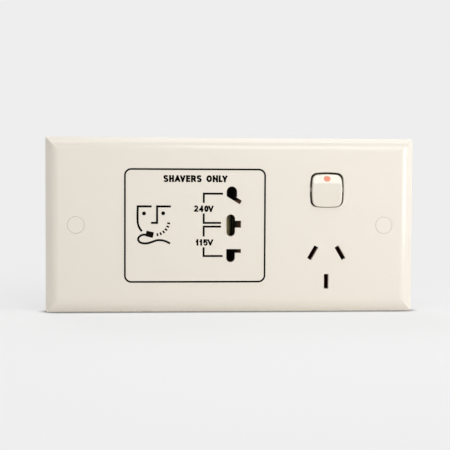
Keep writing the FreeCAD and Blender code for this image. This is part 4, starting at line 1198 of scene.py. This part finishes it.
@dataclass
class Studio:
    """Pale floor, soft lamps and the photograph's camera.

    The key hangs on the right, so the plate darkens to the left. A strip overhead is mirrored in the top
    bevel, a panel above the camera in the rocker's upper facet, and an upright one in the right bevel.
    """

    floor_gap: float = 0.05
    floor_half: float = 6000.0
    paper: StudioPaper = field(default_factory=StudioPaper)
    background: str = "#eeeeee"
    sky: str = "#ffffff"
    ambient: float = 0.43
    lamps: tuple[SoftBox, ...] = (
        SoftBox("key_lamp", (440.0, -440.0, 400.0), 1.0, 350.0, 350.0),
        SoftBox("overhead_strip", (60.0, -200.0, 640.0), 0.72, 520.0, 110.0),
        SoftBox("rocker_panel", (110.0, -560.0, 450.0), 0.62, 260.0, 260.0),
        SoftBox("side_panel", (620.0, -450.0, 0.0), 2.05, 240.0, 420.0),
        SoftBox("back_lamp", (-200.0, 900.0, 900.0), 4.0, 700.0, 700.0),
    )
    camera_place: tuple[float, float, float] = (-44.7, -556.7, 27.0)
    camera_yaw: float = -4.342
    camera_pitch: float = -2.804
    camera_roll: float = -0.276
    camera_range: tuple[float, float] = (10.0, 100000.0)
    focal_px: float = 1115.6

    def build_floor(self) -> None:
        """Lay the floor under the plate's lower edge."""
        lowest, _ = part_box(PLATE_NODE)
        square = UNIT_SQUARE * self.floor_half * MM
        corner_places = np.insert(square, 2, lowest.z - self.floor_gap * MM, axis=1)
        mesh = bpy.data.meshes.new("studio_floor")
        mesh.from_pydata(corner_places.tolist(), [], [list(range(len(square)))])
        mesh.materials.append(self.paper.build())
        floor = bpy.data.objects.new("studio_floor", mesh)
        bpy.context.scene.collection.objects.link(floor)

    def build_world(self) -> None:
        """Light the part evenly from all round, and show the background's own colour behind it."""
        world = bpy.data.worlds.new("studio_world")
        world.use_nodes = True
        tree = world.node_tree
        tree.nodes.clear()
        light = add_node(
            tree, "ShaderNodeBackground", {"Color": linear(self.sky), "Strength": self.ambient}
        )
        shown = add_node(tree, "ShaderNodeBackground", {"Color": linear(self.background), "Strength": 1.0})
        mixed = add_node(
            tree,
            "ShaderNodeMixShader",
            {"Fac": background_rays(tree), 1: light.outputs["Background"], 2: shown.outputs["Background"]},
        )
        add_node(tree, "ShaderNodeOutputWorld", {"Surface": mixed.outputs["Shader"]})
        bpy.context.scene.world = world

    def build_lamps(self) -> None:
        """Hang the lamps, each pointed at the plate's middle."""
        for soft_box in self.lamps:
            data = bpy.data.lights.new(soft_box.name, "AREA")
            data.shape = "RECTANGLE"
            data.size, data.size_y = soft_box.width * MM, soft_box.depth * MM
            data.energy = soft_box.power
            lamp = bpy.data.objects.new(soft_box.name, data)
            lamp.location = [c * MM for c in soft_box.place]
            lamp.rotation_euler = lamp.location.to_track_quat("Z", "Y").to_euler()
            bpy.context.scene.collection.objects.link(lamp)

    def build_camera(self) -> None:
        """Set up the camera that was fitted to the plate's corners, its caps, the slots and the window."""
        data = bpy.data.cameras.new("photo_camera")
        data.sensor_width = SENSOR_MM
        data.lens = self.focal_px / IMAGE_WIDTH_PX * SENSOR_MM
        data.clip_start, data.clip_end = [distance * MM for distance in self.camera_range]
        camera = bpy.data.objects.new("photo_camera", data)
        camera.location = [c * MM for c in self.camera_place]
        yaw = Euler((0.0, 0.0, math.radians(self.camera_yaw))).to_matrix()
        pitch = Euler((math.radians(self.camera_pitch), 0.0, 0.0)).to_matrix()
        roll = Euler((0.0, math.radians(self.camera_roll), 0.0)).to_matrix()
        upright = Euler((math.pi / 2, 0.0, 0.0)).to_matrix()
        camera.rotation_euler = (yaw @ pitch @ roll @ upright).to_euler()
        bpy.context.scene.collection.objects.link(camera)
        bpy.context.scene.camera = camera

    def build(self) -> None:
        """Set the whole studio."""
        self.build_floor()
        self.build_world()
        self.build_lamps()
        self.build_camera()
        bpy.context.scene.view_settings.view_transform = "Standard"


def main() -> None:
    """Load the part, dress it, print its legends and set the studio."""
    logging.basicConfig(level=logging.INFO, format="%(message)s")
    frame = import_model()
    Dressing().build(frame)
    front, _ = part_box(PLATE_NODE)
    layer = InkLayer(surface_y=front.y / MM)
    ink = PadPrintedInk().build()
    for legend in (LegendFrame(layer), VoltageBrackets(layer), ShaverSign(layer), Legends(layer)):
        legend.build(ink)
    Studio().build()


if __name__ == "__main__":
    main()
